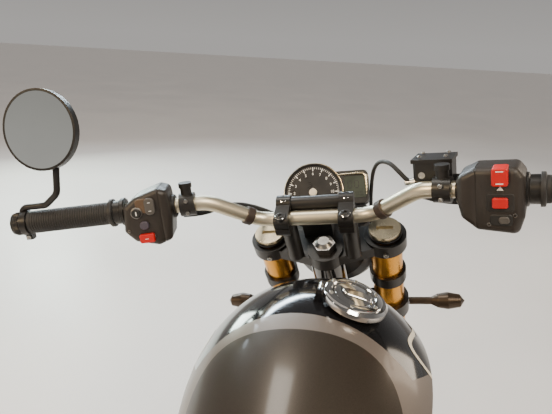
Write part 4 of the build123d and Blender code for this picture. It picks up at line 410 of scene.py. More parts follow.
def slab(mesh, outline, low, high, matrix=Matrix()):
    """Adds a plate with a given outline in local x and y, from low to high along z."""
    outline = anticlockwise(outline)
    rings = [[mesh.verts.new(matrix @ Vector((x, y, z))) for x, y in outline] for z in (low, high)]
    return stack(mesh, rings)


def rounded(wide, tall, corner, x=0.0, y=0.0, steps=5):
    """The outline of a rectangle with round corners about x, y."""
    points = []
    for side_x, side_y, start in ((1, 1, 0), (-1, 1, 90), (-1, -1, 180), (1, -1, 270)):
        for k in range(steps + 1):
            out, over = around(corner, math.radians(start + 90 * k / steps))
            points.append((x + side_x * (wide / 2 - corner) + out, y + side_y * (tall / 2 - corner) + over))
    return points


def moulded(mesh, outline, depth, corner, steps=6):
    """Adds a plate with all of its corners and edges rounded to one radius; the outline is convex."""
    outline = anticlockwise(outline)
    corners = []
    for before, here, after in zip(outline[-1:] + outline[:-1], outline, outline[1:] + outline[:1]):
        here = Vector(here)
        came = (here - Vector(before)).normalized()
        goes = (Vector(after) - here).normalized()
        inward = Vector((-came.y, came.x)) + Vector((-goes.y, goes.x))
        start = math.atan2(-came.x, came.y)
        turn = (math.atan2(-goes.x, goes.y) - start) % (2 * math.pi)
        corners.append((here + inward * corner / (1 + came.dot(goes)), start, turn))
    rims = [(corner * (1 - math.sin(a)), corner * (1 - math.cos(a)))
            for a in (math.pi / 2 * k / steps for k in range(steps + 1))]
    layers = [(inset, rise) for rise, inset in rims[::-1]] + [(inset, depth - rise) for rise, inset in rims]
    rings = []
    for inset, level in layers:
        ring = []
        for centre, start, turn in corners:
            for k in range(steps + 1):
                x, y = around(max(corner - inset, 0.05), start + turn * k / steps)
                ring.append(mesh.verts.new((centre.x + x, centre.y + y, level)))
        rings.append(ring)
    return stack(mesh, rings)


def tube(mesh, points, radius, count=12):
    """Adds a round tube along points, with closed ends; radius is one number or one for each point."""
    rings = []
    way = heading(points, 0).orthogonal().normalized()
    for k, point in enumerate(points):
        ahead = heading(points, k)
        way = (way - ahead * way.dot(ahead)).normalized()
        across = ahead.cross(way)
        r = radius[k] if isinstance(radius, list) else radius
        rings.append([mesh.verts.new(Vector(point) + (way * math.cos(angle) + across * math.sin(angle)) * r)
                      for angle in full_turn(count)])
    return stack(mesh, rings)


def socket_bolt(mesh, place, way, radius, height):
    """Adds a round bolt head with a hexagonal socket, standing on place."""
    where = axes(place, Vector(way).orthogonal(), way)
    mouth = radius * 0.52
    rim = (mouth * 1.12, height)
    lathe(mesh, [(radius, -1), (radius, height * 0.85), (radius * 0.88, height), rim], 24, where)
    lathe(mesh, [rim, (mouth, height - 0.3), (mouth, height * 0.4), (0, height * 0.4)], 6, where)


def hex_bolt(mesh, place, way, radius, height):
    """Adds a flanged hexagonal bolt head."""
    where = axes(place, Vector(way).orthogonal(), way)
    lathe(mesh, [(radius * 1.25, -1), (radius * 1.25, 1.2), (radius, 1.6)], 24, where)
    lathe(mesh, [(radius, 1.2), (radius, height * 0.85), (radius * 0.86, height), (0, height)], 6, where)


# Cockpit

GRIP_LENGTH = 122
GRIP_RIB = 3.4
CLAMP_X = 48
BAND_SHARE = 0.24


def grips():
    """Ribbed rubber grips with a collar."""
    low = BAR_REACH - GRIP_LENGTH
    profile = lifted([(BAR_BORE, 0), (20.3, 0), (20.5, 0.8), (20.5, 4.2), (20.0, 5), (16.6, 6)], low)
    place = low + 8
    while place < BAR_REACH - 8:
        profile += lifted([(16.4, 0), (16.5, 0.4), (16.5, 1.8), (15.8, 2.3), (15.8, 3.0)], place)
        place += GRIP_RIB
    profile += lifted([(16.4, -5), (16.5, -4), (16.3, -0.4), (15.6, 0), (BAR_BORE, 0)], BAR_REACH)
    mesh = lathe(bmesh.new(), profile, 56, HANDS["right"])
    lathe(mesh, profile[::-1], 56, HANDS["left"])
    obj = piece("grip_rubbers", mesh, Matrix(), "rubber", "steering")
    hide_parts("grips")


def clamp_bolts():
    """Bright-ringed bolts on the bar clamps, and rubber bands round the bar."""
    bolts, rings, bands = bmesh.new(), bmesh.new(), bmesh.new()
    low, high = Vector(BAR_CENTRE), Vector(BAR_BEND)
    for side in (-1, 1):
        for t, u in ((-37.0, 1096.3), (-0.7, 1098.6)):
            place = (side * CLAMP_X, t, u)
            seat_ring = axes(place, (1, 0, 0), (0, 0, 1))
            lathe(bolts, [(8.9, -5), (8.9, 0.6), (8.2, 0.9)], 32, seat_ring)
            socket_bolt(bolts, place, (0, 0, 1), 5.2, 3.4)
            lathe(rings, [(8.1, -0.5), (8.1, 1.6), (7.4, 2.2), (5.3, 2.2), (5.3, 0.4)], 32, seat_ring)
        middle = low.lerp(high, BAND_SHARE)
        way = high - low
        middle.x, way.x = middle.x * side, way.x * side
        band = [(11.2, -6), (13.4, -6), (14, -5.2), (14, 5.2), (13.4, 6), (11.2, 6)]
        lathe(bands, band, 32, axes(middle, (0, 1, 0), way))
    piece("clamp_bolts", bolts, STEER, "satin_black", "steering")
    piece("clamp_rings", rings, STEER, "chrome", "steering")
    piece("bar_bands", bands, STEER, "brown_rubber", "steering")


# Switch housings: local x out along the bar, y up, z toward the rider from the housing's front
HOUSING = Matrix.Translation((21, 0, 0)) @ Matrix.Rotation(math.radians(-90), 4, "Y")
HOUSING_DEPTH = 52.0
SHELLS = {
    "right": [(49, -6), (51, 24), (70, 33), (114, 33), (122, 22), (122, -26), (116, -47), (72, -43),
              (54, -28)],
    "left": [(49, -6), (52, 30), (66, 35), (98, 25), (116, 12), (120, -24), (106, -40), (74, -49),
             (54, -42)],
}
SHELL_CORNER = 8.0
SEAMS = {"right": 71.0, "left": 64.0}
SEAM_DEEP = 1.3
# Each cap's name and look, its place out and up, width, height, how far proud, corner and how far sunk
CAPS = {
    "right": (
        ("kill_switch", "red", 97, 24, 17, 21, 6.5, 3, 16),
        ("start_recess", "rubber", 97, -7, 29, 22, 0.8, 3),
        ("start_button", "red", 97, -7, 16.5, 12.5, 4.2, 2.6),
        ("start_panel", "plastic", 98, -28, 24, 14, 1, 4),
        ("mode_button", "grey_button", 101, -28, 12, 9, 2.4, 4.2),
    ),
    "left": (
        ("rocker_surround", "tan_rubber", 84, 13, 27, 21, 0.9, 6),
        ("flash_ring", "dark_steel", 97, 4, 17, 17, 2.2, 8.4),
        ("flash_button", "plastic", 97, 4, 13.4, 13.4, 4, 6.6),
        ("dip_rocker", "grey_button", 77, 12, 14, 24, 4.4, 5.5),
        ("horn_button", "violet_button", 89, -15, 13, 12, 3.4, 5.4),
        ("signal_switch", "red", 88, -34, 21, 13, 5.4, 2.5),
    ),
}
# Strokes on the caps: place out and up, width, height, corner and how far proud
STROKES = {
    "right": ((97, 17, 8, 1.2, 0.5, 6.4), (97, 31, 8, 1.2, 0.5, 6.4)),
    "left": ((97, 4, 1.4, 6, 0.6, 3.9), (77, 6, 4, 0.9, 0.4, 4.3), (77, 18, 4, 0.9, 0.4, 4.3),
             (88, -34, 5, 0.8, 0.4, 5.3)),
}
STROKE_THICK = 0.3


def pad(mesh, out, height, wide, tall, proud, corner, sunk=2.0):
    """Adds a raised pad on the rider's side of a switch housing."""
    outline = rounded(wide, tall, corner, out, height)
    return slab(mesh, outline, HOUSING_DEPTH - sunk, HOUSING_DEPTH + proud)


def switches():
    """Two-shell housings on the bar with their caps and recesses."""
    for hand, outline in SHELLS.items():
        matrix, seam = HANDS[hand] @ HOUSING, SEAMS[hand]
        shell = moulded(bmesh.new(), outline, HOUSING_DEPTH, SHELL_CORNER)
        for shift in (-SEAM_DEEP, 0, SEAM_DEEP):
            cut = shell.verts[:] + shell.edges[:] + shell.faces[:]
            bmesh.ops.bisect_plane(shell, geom=cut, plane_co=(seam + shift, 0, 0), plane_no=(1, 0, 0))
        middle = Vector((seam, -6, HOUSING_DEPTH / 2))
        for vertex in shell.verts:
            if abs(vertex.co.x - seam) < 0.01:
                vertex.co += (middle - vertex.co).normalized() * SEAM_DEEP
        obj = piece(f"{hand}_switch_housing", shell, matrix, "textured", "steering")
        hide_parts(f"{hand}_switchgear")
        inner = [(BAR_BORE, 46), (16, 46), (17, 47), (17, 51), (16, 52), (BAR_BORE, 52)]
        outer = [(BAR_BORE, 119), (19.6, 119), (20.4, 120), (20.4, 124.4), (19.4, 125.2), (17.6, 126),
                 (17.6, 137), (BAR_BORE, 137)]
        collars = lathe(lathe(bmesh.new(), inner, 40), outer)
        piece(f"{hand}_housing_collars", collars, HANDS[hand], "satin_black", "steering")
        screws = bmesh.new()
        for place in ((seam + 14, -34), (112, -22)):
            socket_bolt(screws, (*place, HOUSING_DEPTH - 0.6), (0, 0, 1), 2.4, 1.2)
        piece(f"{hand}_housing_screws", screws, matrix, "dark_steel", "steering")
        for name, look, *values in CAPS[hand]:
            piece(name, pad(bmesh.new(), *values), matrix, look, "steering", bevel=1.2)


def switch_marks():
    """Plain strokes on the caps and a triangle on the right housing."""
    triangle = [(93.5, 7.5), (100.5, 7.5), (97, 12.5)]
    shown = slab(bmesh.new(), triangle, HOUSING_DEPTH - 0.5, HOUSING_DEPTH + STROKE_THICK)
    for hand, name, mesh in (("right", "switch_marks", shown), ("left", "left_switch_marks", bmesh.new())):
        for *values, corner, proud in STROKES[hand]:
            pad(mesh, *values, proud + STROKE_THICK, corner, -proud)
        piece(name, mesh, HANDS[hand] @ HOUSING, "white", "steering", smooth=False)


def bar_ends():
    """Mirror clamp rings and knurled weights on the bar's ends."""
    rim = [(15.6, 0.6), (17.6, 0.6), (18.2, 1.4), (18.2, 9), (17.6, 9.8), (15.6, 9.8)]
    core = [(14, 10), (16, 10.4), (16, 20.6), (14.6, 22.6), (9, 22.8)]
    teeth = [around(16.8 if k % 2 else 16.1, angle) for k, angle in enumerate(full_turn(120))]
    for hand, matrix in HANDS.items():
        ring = lathe(bmesh.new(), lifted(rim, BAR_REACH))
        slab(ring, rounded(12, 9, 2, 0, -20.5), BAR_REACH + 0.8, BAR_REACH + 9.6)
        piece(f"mirror_clamp_{hand}", ring, matrix, "satin_black", "steering")
        weight = slab(bmesh.new(), teeth, BAR_REACH + 11.5, BAR_REACH + 19)
        lathe(weight, lifted(core, BAR_REACH))
        socket_bolt(weight, (0, 0, BAR_REACH + 22.2), (0, 0, 1), 5, 1.4)
        piece(f"bar_weight_{hand}", weight, matrix, "satin_black", "steering")
        bolt = bmesh.new()
        socket_bolt(bolt, (-6, -20.5, BAR_REACH + 5.2), (-1, 0, 0), 3.2, 2.6)
        piece(f"mirror_clamp_bolt_{hand}", bolt, matrix, "steel", "steering")


# The dial: local x right, y up its face, z toward the rider
DIAL_TILT = math.radians(37.4)
DIAL = STEER @ axes((-15.0, 64.6, 1052.7), (1, 0, 0), (0, -math.sin(DIAL_TILT), math.cos(DIAL_TILT)))
SCALE_START, SCALE_SWEEP = 225, 270
SCALE_RADIUS = 44
SCALE_MARKS = 60
FIGURE_RADIUS = 32.5
FIGURES = 12


def scale_angle(k, count):
    """The angle of mark k of count along the dial's scale."""
    return math.radians(SCALE_START - SCALE_SWEEP * k / count)


def dial():
    """Bezel, scale, figures and needle of the dial."""
    bezel = lathe(bmesh.new(), [(46.6, -1), (46.6, 0.6), (47.8, 2.4), (49.4, 2.6), (50.4, 1.6)], 72)
    piece("dial_bezel", bezel, DIAL, "satin_black", "steering")
    # Painted highlight: a champagne ring round the bezel's rim and a tapering strip along the screen's top
    # and right edges stand in for light catching the black bezel.
    edge = lathe(bmesh.new(), [(50.2, 1.7), (50.9, 1.9), (51.5, 1.0), (51.6, -5)], 72)
    corner = [(41.5, 27.5), (72, 28.5), (84, 28), (88.6, 24), (89.5, 6), (89, -8)]
    tube(edge, [(x, y, 0.6) for x, y in corner], [1.4, 2.2, 2.6, 2.6, 2.0, 0.6])
    piece("dial_painted_highlight", edge, DIAL, "champagne", "steering")
    marks = bmesh.new()
    for k in range(SCALE_MARKS + 1):
        long, wide = (6.5, 0.75) if k % 5 == 0 else (3.2, 0.35)
        inner = SCALE_RADIUS - long
        mark = [(inner, -wide), (SCALE_RADIUS, -wide), (SCALE_RADIUS, wide), (inner, wide)]
        slab(marks, mark, -0.1, 0.25, Matrix.Rotation(scale_angle(k, SCALE_MARKS), 4, "Z"))
    piece("dial_marks", marks, DIAL, "white", "steering", smooth=False)
    for k in range(FIGURES + 1):
        curve = bpy.data.curves.new("figure", "FONT")
        curve.body = str(k)
        curve.size = 6.6
        curve.align_x = curve.align_y = "CENTER"
        curve.extrude = 0.12
        text = added("figure", curve)
        bpy.context.view_layer.update()
        mesh = bmesh.new()
        mesh.from_mesh(bpy.data.meshes.new_from_object(text))
        bpy.data.objects.remove(text)
        where = DIAL @ Matrix.Translation((*around(FIGURE_RADIUS, scale_angle(k, FIGURES)), 0.15))
        piece(f"dial_figure_{k}", mesh, where, "white", "steering", smooth=False)
    needle = slab(bmesh.new(), [(-1.6, 7), (1.6, 7), (0.9, -40), (-0.9, -40)], 2.2, 3.2)
    piece("dial_needle", needle, DIAL, "white", "steering", smooth=False)
    hub = lathe(bmesh.new(), [(6.6, 0), (6.6, 3.0), (5.8, 4.0), (2.5, 4.5), (0, 4.5)], 40)
    piece("dial_hub", hub, DIAL, "cream", "steering")


def display():
    """The screen beside the dial, with two rows of noughts."""
    upright = [(side, half, 1.1, 4.6) for side in (-3.1, 3.1) for half in (3, -3)]
    figures = bmesh.new()
    places = ((62, 10, 1.0), (73, 10, 1.0), (60, -6, 0.5), (66, -6, 0.5), (74, -6, 0.5), (80, -6, 0.5))
    for x, y, size in places:
        for stroke in [(0, 6, 4.6, 1.1), (0, -6, 4.6, 1.1), *upright]:
            over, above, wide, tall = (value * size for value in stroke)
            left, low = x + over - wide / 2, y + above - tall / 2
            outline = [(left, low), (left + wide, low), (left + wide, low + tall), (left, low + tall)]
            slab(figures, outline, -0.1, 0.12)
    piece("display_figures", figures, DIAL, "rubber", "steering", smooth=False)
    screen = slab(bmesh.new(), rounded(35, 37, 2, 70.5, 6), -0.5, 0.05)
    piece("display_face", screen, DIAL, "display", "steering", smooth=False)


FORK_X = 99
FORK_T = 29.2
PINCH_T = FORK_T - 35.2
PINCH_LEVELS = (789, 968)


def trim():
    """Screws, bosses and rings round the controls and the fork."""
    screws = bmesh.new()
    for ahead, along in ((30, -6), (54, -6), (30, 28), (54, 28)):
        socket_bolt(screws, (ahead, 37, along), (0, 1, 0), 2.6, 1.4)
    piece("reservoir_screws", screws, HANDS["right"], "steel", "steering")
    window = lathe(bmesh.new(), [(4.4, -1), (4.4, 1.2), (3.1, 1.2), (2.8, 0.4), (0, 0.4)], 32,
                   axes((22, 13, -2), (0, 1, 0), (-1, 0, 0)))
    piece("reservoir_window", window, HANDS["right"], "steel", "steering")
    for hand, matrix in HANDS.items():
        bolts = bmesh.new()
        for height in (-9, 9):
            socket_bolt(bolts, (-16.6, height, 29), (-1, 0, 0), 2.8, 2.4)
        piece(f"perch_bolts_{hand}", bolts, matrix, "steel", "steering")
        pivot = lathe(bmesh.new(), [(6, 0), (6, 1.6), (5, 2.4), (0, 2.4)], 6,
                      axes((50, -5.8, 40), (1, 0, 0), (0, 1, 0)))
        piece(f"lever_pivot_{hand}", pivot, matrix, "steel", "steering")
    union = lathe(bmesh.new(), [(9, 0.4), (9, -4), (6.4, -4.6), (6.4, -9), (4.2, -9.6), (4.2, -16), (0, -16)],
                  24, Matrix.Translation((35, 0, -12.5)))
    piece("hose_union", union, HANDS["right"], "steel", "steering")
    rings, pinch = bmesh.new(), bmesh.new()
    cap_ring = [(25.0, 985.5), (27.7, 985.5), (27.9, 986.2), (27.9, 989.4), (27.4, 990.2), (25.0, 990.2)]
    for side in (-1, 1):
        lathe(rings, cap_ring, 64, Matrix.Translation((side * FORK_X, FORK_T, 0)))
        for level in PINCH_LEVELS:
            socket_bolt(pinch, (side * FORK_X, PINCH_T, level), (0, -1, 0), 4.2, 3.4)
    piece("cap_rings", rings, STEER, "satin_black", "steering")
    piece("pinch_bolts", pinch, STEER, "steel", "steering")


# Routes of the hose and the cables, in steering coordinates
BRAKE_HOSE = ((147.5, -6.9, 1121.6), (136.5, -3.6, 1121.5), (127, 4, 1131), (112, 28, 1134), (96, 54, 1116),
              (86, 74, 1082), (80, 82, 1038), (76, 80, 988), (75, 76, 932), (75, 74, 874), (74, 73, 816),
              (68, 70, 764), (48, 58, 722), (16, 40, 698), (-22, 20, 684), (-60, -4, 662), (-84, -26, 622),
              (-93, -42, 572), (-94, -52, 522), (-92, -60, 480))
LEFT_LOOM = ((-199, -38, 1112), (-177, -24, 1099), (-154, -2, 1092), (-136, 24, 1072), (-125, 50, 1042),
             (-115, 74, 1010), (-98, 91, 978), (-77.6, 102.1, 952.9), (-60.4, 108.1, 935.8))
RIGHT_LOOM = ((199, -38, 1110), (177, -22, 1099), (158, 4, 1086), (145, 32, 1062), (132, 56, 1030),
              (118, 78, 1000), (98, 92, 975), (77.6, 102.1, 952.9), (60.4, 108.1, 935.8))


def cord(name, node, points, radius):
    """A hose or cable as one smooth spline through its route."""
    data = bpy.data.curves.new(name, "CURVE")
    data.dimensions = "3D"
    data.bevel_depth = radius * MM
    data.bevel_resolution = 4
    data.use_fill_caps = True
    line = data.splines.new("NURBS")
    line.points.add(len(points) - 1)
    for point, place in zip(line.points, points):
        point.co = (*(STEER @ Vector(place)), 1)
    line.order_u = 3
    line.use_endpoint_u = True
    line.resolution_u = 12
    obj = added(name, data)
    wear(obj, LOOKS["rubber"])
    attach(obj, "steering")
    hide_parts(node)


# Wheels

TREAD_ROWS = 44
BLOCK_STEPS = 8
SIPE_DEPTH = 2.6
SIPE_WIDTH = 0.14
SIPE_SWEEP = 1.21
GROOVE = 0.1
GROOVE_HALF = 0.024
TREAD_EDGE = 0.86
EDGE_FADE = 8


def tread(name, node, hub, radius, width, crown, blocks, body):
    """A tyre with curved sidewalls, two grooves and sipes cut across its crown."""
    half = width / 2
    centre = radius - crown
    shoulder = centre + math.sqrt(crown ** 2 - half ** 2)
    wall = ((shoulder - 6, 1.0), (shoulder - 16, 0.995), (260, 0.96), (246, 0.9), (236, 0.83), (231.2, 0.76))
    mesh = bmesh.new()
    rings = []
    for k, angle in enumerate(full_turn(blocks * BLOCK_STEPS)):
        ring = [(r, -half * share) for r, share in wall[::-1]]
        for n in range(TREAD_ROWS + 1):
            share = 2 * n / TREAD_ROWS - 1
            off = abs(share)
            phase = (k / BLOCK_STEPS + SIPE_SWEEP * off ** 1.3 + (0.5 if share > 0 else 0)) % 1
            cut = 0.0
            if GROOVE < off < TREAD_EDGE and phase < SIPE_WIDTH:
                cut = SIPE_DEPTH * min(1, (TREAD_EDGE - off) * EDGE_FADE)
            if abs(off - GROOVE) < GROOVE_HALF:
                cut = SIPE_DEPTH
            x = half * share
            ring.append((centre + math.sqrt(max(0, crown ** 2 - x ** 2)) - cut, x))
        ring += [(r, half * share) for r, share in wall]
        rings.append([mesh.verts.new((*around(r, angle), x)) for r, x in ring])
    for low, high in zip(rings, rings[1:] + rings[:1]):
        for n in range(len(low)):
            after = (n + 1) % len(low)
            mesh.faces.new((low[n], high[n], high[after], low[after]))
    obj = piece(name, mesh, hub, "tyre", body)
    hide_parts(node)


SHOCK_FOOT, SHOCK_HEAD = Vector((0, -115, 452)), Vector((0, 47, 668))
SPRING_LOW, SPRING_TOP = 0.14, 0.84
SPRING_TURNS = 7
TURN_STEPS = 32


def coil():
    """The rear shock's damper, and its spring as one helix."""
    length = (SHOCK_HEAD - SHOCK_FOOT).length
    where = MACHINE @ axes(SHOCK_FOOT, (1, 0, 0), SHOCK_HEAD - SHOCK_FOOT)
    body = bmesh.new()
    rod = [(0, 0), (9, 0), (9, 0.45), (22, 0.45), (22, 0.88), (9, 0.88), (9, 1), (0, 1)]
    lathe(body, [(radius, length * share) for radius, share in rod], 40)
    for share in (SPRING_LOW, SPRING_TOP):
        cup = [(9, 0), (33, 0), (34, 1), (34, 5), (33, 6), (9, 6)]
        lathe(body, lifted(cup, length * share))
    for end in (0, length):
        eye = [(6.3, -14), (15, -14), (15, 14), (6.3, 14), (6.3, -14)]
        lathe(body, eye, 40, Matrix.Translation((0, 0, end)) @ Matrix.Rotation(math.radians(90), 4, "Y"))
    damper = piece("rear_damper", body, where, "satin_black", "chassis")
    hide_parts("rear_shock")
    start, end = length * SPRING_LOW + 10.6, length * SPRING_TOP - 4.6
    steps = SPRING_TURNS * TURN_STEPS
    points = [(*around(27, 2 * math.pi * k / TURN_STEPS), start + (end - start) * k / steps)
              for k in range(steps + 1)]
    piece("rear_spring", tube(bmesh.new(), points, 4.6), where, "spring", "chassis")


# Seat

SEAT_SHRINK = 2.5 * MM
SEAT_VOXEL = 7 * MM
SEAT_PUFF = 4 * MM
SEAT_CROWN = 6 * MM
CLOTH_FRAMES = 12
ABOVE_SEAT = 1000
SEWN_WELT, PLAIN_WELT = 1.9 * MM, 1.1 * MM
STITCH_RADIUS = 0.45 * MM
STITCH_AWAY = 4.5 * MM


def seat_cover():
    """The bench as a stuffed leather cover."""
    source = nodes["seat"]
    obj = added("seat_pad", source.data.copy())
    bpy.context.view_layer.objects.active = obj
    shrink = obj.modifiers.new("shrink", "DISPLACE")
    shrink.strength = -SEAT_SHRINK
    shrink.mid_level = 0
    remesh = obj.modifiers.new("remesh", "REMESH")
    remesh.mode = "VOXEL"
    remesh.voxel_size = SEAT_VOXEL
    cloth = obj.modifiers.new("cloth", "CLOTH")
    cloth.settings.use_pressure = True
    cloth.settings.uniform_pressure_force = 3.0
    cloth.settings.effector_weights.gravity = 0
    cloth.settings.tension_stiffness = 25
    for number in range(1, CLOTH_FRAMES + 1):
        bpy.context.scene.frame_set(number)
    bpy.context.view_layer.update()
    shape = bpy.data.meshes.new_from_object(obj.evaluated_get(bpy.context.evaluated_depsgraph_get()))
    bpy.context.scene.frame_set(1)
    obj.modifiers.clear()
    obj.data = shape
    low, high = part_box("seat")
    high = high + Vector((0, 0, SEAT_CROWN))
    solid = surface(source)
    mesh = bmesh.new()
    mesh.from_mesh(shape)
    for vertex in mesh.verts:
        place, _, _, gap = solid.find_nearest(vertex.co)
        if gap and gap > SEAT_PUFF:
            vertex.co = place + (vertex.co - place).normalized() * SEAT_PUFF
        for axis in range(3):
            vertex.co[axis] = min(max(vertex.co[axis], low[axis]), high[axis])
    bmesh.ops.smooth_vert(mesh, verts=mesh.verts, factor=0.5, use_axis_x=True, use_axis_y=True,
                          use_axis_z=True)
    mesh.to_mesh(shape)
    mesh.free()
    shape.shade_smooth()
    wear(obj, LOOKS["leather"])
    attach(obj, "chassis")
    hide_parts("seat")
    return obj


def seat_seams(cover):
    """Piping with stitches along the cover's edges, and plain welts across it."""
    skin = surface(cover)
    sides = ((96, ((-20, 0.5), (-80, 0.78), (-185, 1), (-300, 0.97), (-345, 0.92))),
             (86, ((-372, 1), (-440, 0.96), (-520, 0.85), (-600, 0.68))))
    rows = [(6, [(x * share, y) for y, share in line]) for half, line in sides for x in (-half, half)]
    rows += [(1, [(x, y) for x in range(-88, 89, 8)])
             for y in (-120, -165, -210, -255, -400, -445, -490, -535)]
    stitches, welts = bmesh.new(), bmesh.new()
    for parts, points in rows:
        line = [(x0 + (x1 - x0) * k / parts, y0 + (y1 - y0) * k / parts)
                for (x0, y0), (x1, y1) in zip(points, points[1:]) for k in range(parts)]
        found = met(skin, [(x, y, ABOVE_SEAT) for x, y in [*line, points[-1]]], -up)
        if len(found) < 3:
            continue
        sewn = parts > 1
        line = [place + normal * 0.2 * MM for place, normal in found]
        tube(welts, line, SEWN_WELT if sewn else PLAIN_WELT, 8)
        for (place, normal), (after, _) in zip(found, found[1:] if sewn else ()):
            way = (after - place).normalized()
            foot = place + normal.cross(way) * STITCH_AWAY
            stitch = [foot + normal * rise * MM + way * along * MM
                      for rise, along in ((0.5, 0), (0.7, 2), (0.5, 4))]
            tube(stitches, stitch, STITCH_RADIUS, 6)
    piece("seat_welts", welts, Matrix(), "leather", "chassis")
    piece("seat_stitches", stitches, Matrix(), "thread", "chassis")


# Tank

STRIPE = ((352, 852), (340, 855), (325, 861), (310, 865.5), (301, 866), (294, 862.5), (289.5, 856),
          (287, 848), (285.6, 839), (285, 832))
STRIPE_HALF = 3.0 * MM
STRIPE_PROUD = 0.35 * MM
TAPER_START, TAPER_POINTS = 0.3, 14
OUTSIDE_TANK = 400


def pinstripe():
    """A cream stripe that hooks down each side of the tank, tapered at its front end."""
    skin = surface(nodes["fuel_tank"])
    route = [Vector(point) for point in STRIPE]
    for _ in range(3):
        cut = [a.lerp(b, share) for a, b in zip(route, route[1:]) for share in (0.25, 0.75)]
        route = [route[0], *cut, route[-1]]
    stripe = bmesh.new()
    for side in (-1, 1):
        found = met(skin, [(side * OUTSIDE_TANK, y, z) for y, z in route], right * -side)
        line = [place for place, normal in found]
        edges = []
        for k, (place, normal) in enumerate(found):
            share = min(1, TAPER_START + k / TAPER_POINTS)
            across = normal.cross(heading(line, k)) * STRIPE_HALF * share
            edges.append([stripe.verts.new(place + across * way + normal * STRIPE_PROUD) for way in (-1, 1)])
        for low, high in zip(edges, edges[1:]):
            stripe.faces.new((low[0], low[1], high[1], high[0]))
    bmesh.ops.recalc_face_normals(stripe, faces=stripe.faces)
    piece("pinstripe", stripe, Matrix(), "cream", "chassis")


def filler():
    """Stepped ring, screws and key flap on the filler lid."""
    low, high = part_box("fuel_cap")
    lid = nodes["fuel_cap"].data
    top = max(lid.polygons, key=lambda face: face.normal.z * face.area)
    to_machine = MACHINE.inverted()
    way = turned_up.transposed() @ top.normal
    level = sum((to_machine @ lid.vertices[v].co).dot(way) for v in top.vertices) / len(top.vertices)
    centre = to_machine @ ((low + high) / 2)
    centre += way * (level - centre.dot(way))
    where = MACHINE @ axes(centre, (1, 0, 0), way)
    ring = [(35.5, -1), (35.2, 1.4), (33.8, 2.2), (27.5, 2.2), (26.5, 1.4), (26.2, -1)]
    piece("lid_ring", lathe(bmesh.new(), ring, 72), where, "chrome", "fuel_cap")
    flap = slab(bmesh.new(), rounded(36, 15, 7.4, 4, 0, 8), -0.5, 3.4)
    piece("lid_key_flap", flap, where, "chrome", "fuel_cap", bevel=1.2)
    dome = lathe(bmesh.new(), [(24, -0.5), (23, 0.9), (14, 1.7), (0, 2.0)], 56)
    piece("lid_dome", dome, where, "chrome", "fuel_cap")
    screws = bmesh.new()
    for k in range(6):
        socket_bolt(screws, (*around(30.7, math.radians(30 + 60 * k)), 1.9), (0, 0, 1), 2.5, 1.6)
    piece("lid_screws", screws, where, "steel", "fuel_cap")


# Rest of the machine

CASE_HALF = 84
FRAME_HALF = 120
AXLE_HALF = 122
# Engine covers: side, centre along and up, radius of the bolt circle, how far out and number of bolts
COVERS = ((1, 193, 350, 86, 14, 9), (1, 267, 296, 31, 26, 4),
          (-1, 207, 362, 66, 18, 8), (-1, 300, 300, 21, 12, 3))
# Footrests: inner end out, along and up, length and radius
FOOTRESTS = ((140, -87, 336, 78, 12), (135, -295, 452, 66, 11))


def machine_bolts():
    """Bolt heads on the engine's covers and the frame's brackets, and the front axle's nuts."""
    dark, bright, nuts = bmesh.new(), bmesh.new(), bmesh.new()
    for side, y, z, reach, out, count in COVERS:
        for k in range(count):
            along, over = around(reach, 2 * math.pi * (k + 0.25) / count)
            hex_bolt(bright, (side * (CASE_HALF + out), y + along, z + over), (side, 0, 0), 3.8, 4)
    nut = lifted([(6.2, -10), (14, -10), (14, -1), (12.8, 0), (6.2, 0)], AXLE_HALF)
    for side in (-1, 1):
        hex_bolt(bright, (side * FRAME_HALF, 0, 400), (side, 0, 0), 12, 8)
        for z in (472, 302):
            hex_bolt(dark, (side * FRAME_HALF, 57, z), (side, 0, 0), 8, 5.5)
        for y, z in ((0, 415), (-62, 335)):
            socket_bolt(dark, (side * 128.3, y, z), (side, 0, 0), 5.5, 4)
        lathe(nuts, nut, 6, Matrix.Scale(side, 4, (0, 0, 1)))
    piece("cover_bolts", bright, MACHINE, "steel", "chassis")
    piece("bracket_bolts", dark, MACHINE, "satin_black", "chassis")
    bmesh.ops.recalc_face_normals(nuts, faces=nuts.faces)
    piece("front_axle_nuts", nuts, FRONT_HUB, "steel", "steering")


def number_plate():
    """A blank plate on its hanger."""
    plate = slab(bmesh.new(), rounded(160, 110, 6), 0, 1.2)
    back = MACHINE @ axes((0, -912, 498), (1, 0, 0), (0, -0.96, 0.3))
    piece("blank_plate", plate, back, "plate", "chassis", bevel=0.5)


def footrest_rubbers():
    """Ribbed rubber sleeves on the footrests."""
    mesh = bmesh.new()
    for side in (-1, 1):
        for out, y, z, long, radius in FOOTRESTS:
            profile = [(radius, 0), (radius + 1.6, 0.4)]
            place = 2.0
            while place < long - 4:
                profile += [(radius + 1.6, place), (radius + 0.7, place + 0.7), (radius + 0.7, place + 2.2),
                            (radius + 1.6, place + 3)]
                place += 5.2
            profile += [(radius + 1.6, long - 0.4), (radius, long)]
            lathe(mesh, profile, 36, axes((side * out, y, z), (0, 1, 0), (side, 0, 0)))
    piece("footrest_rubbers", mesh, MACHINE, "rubber", "chassis")


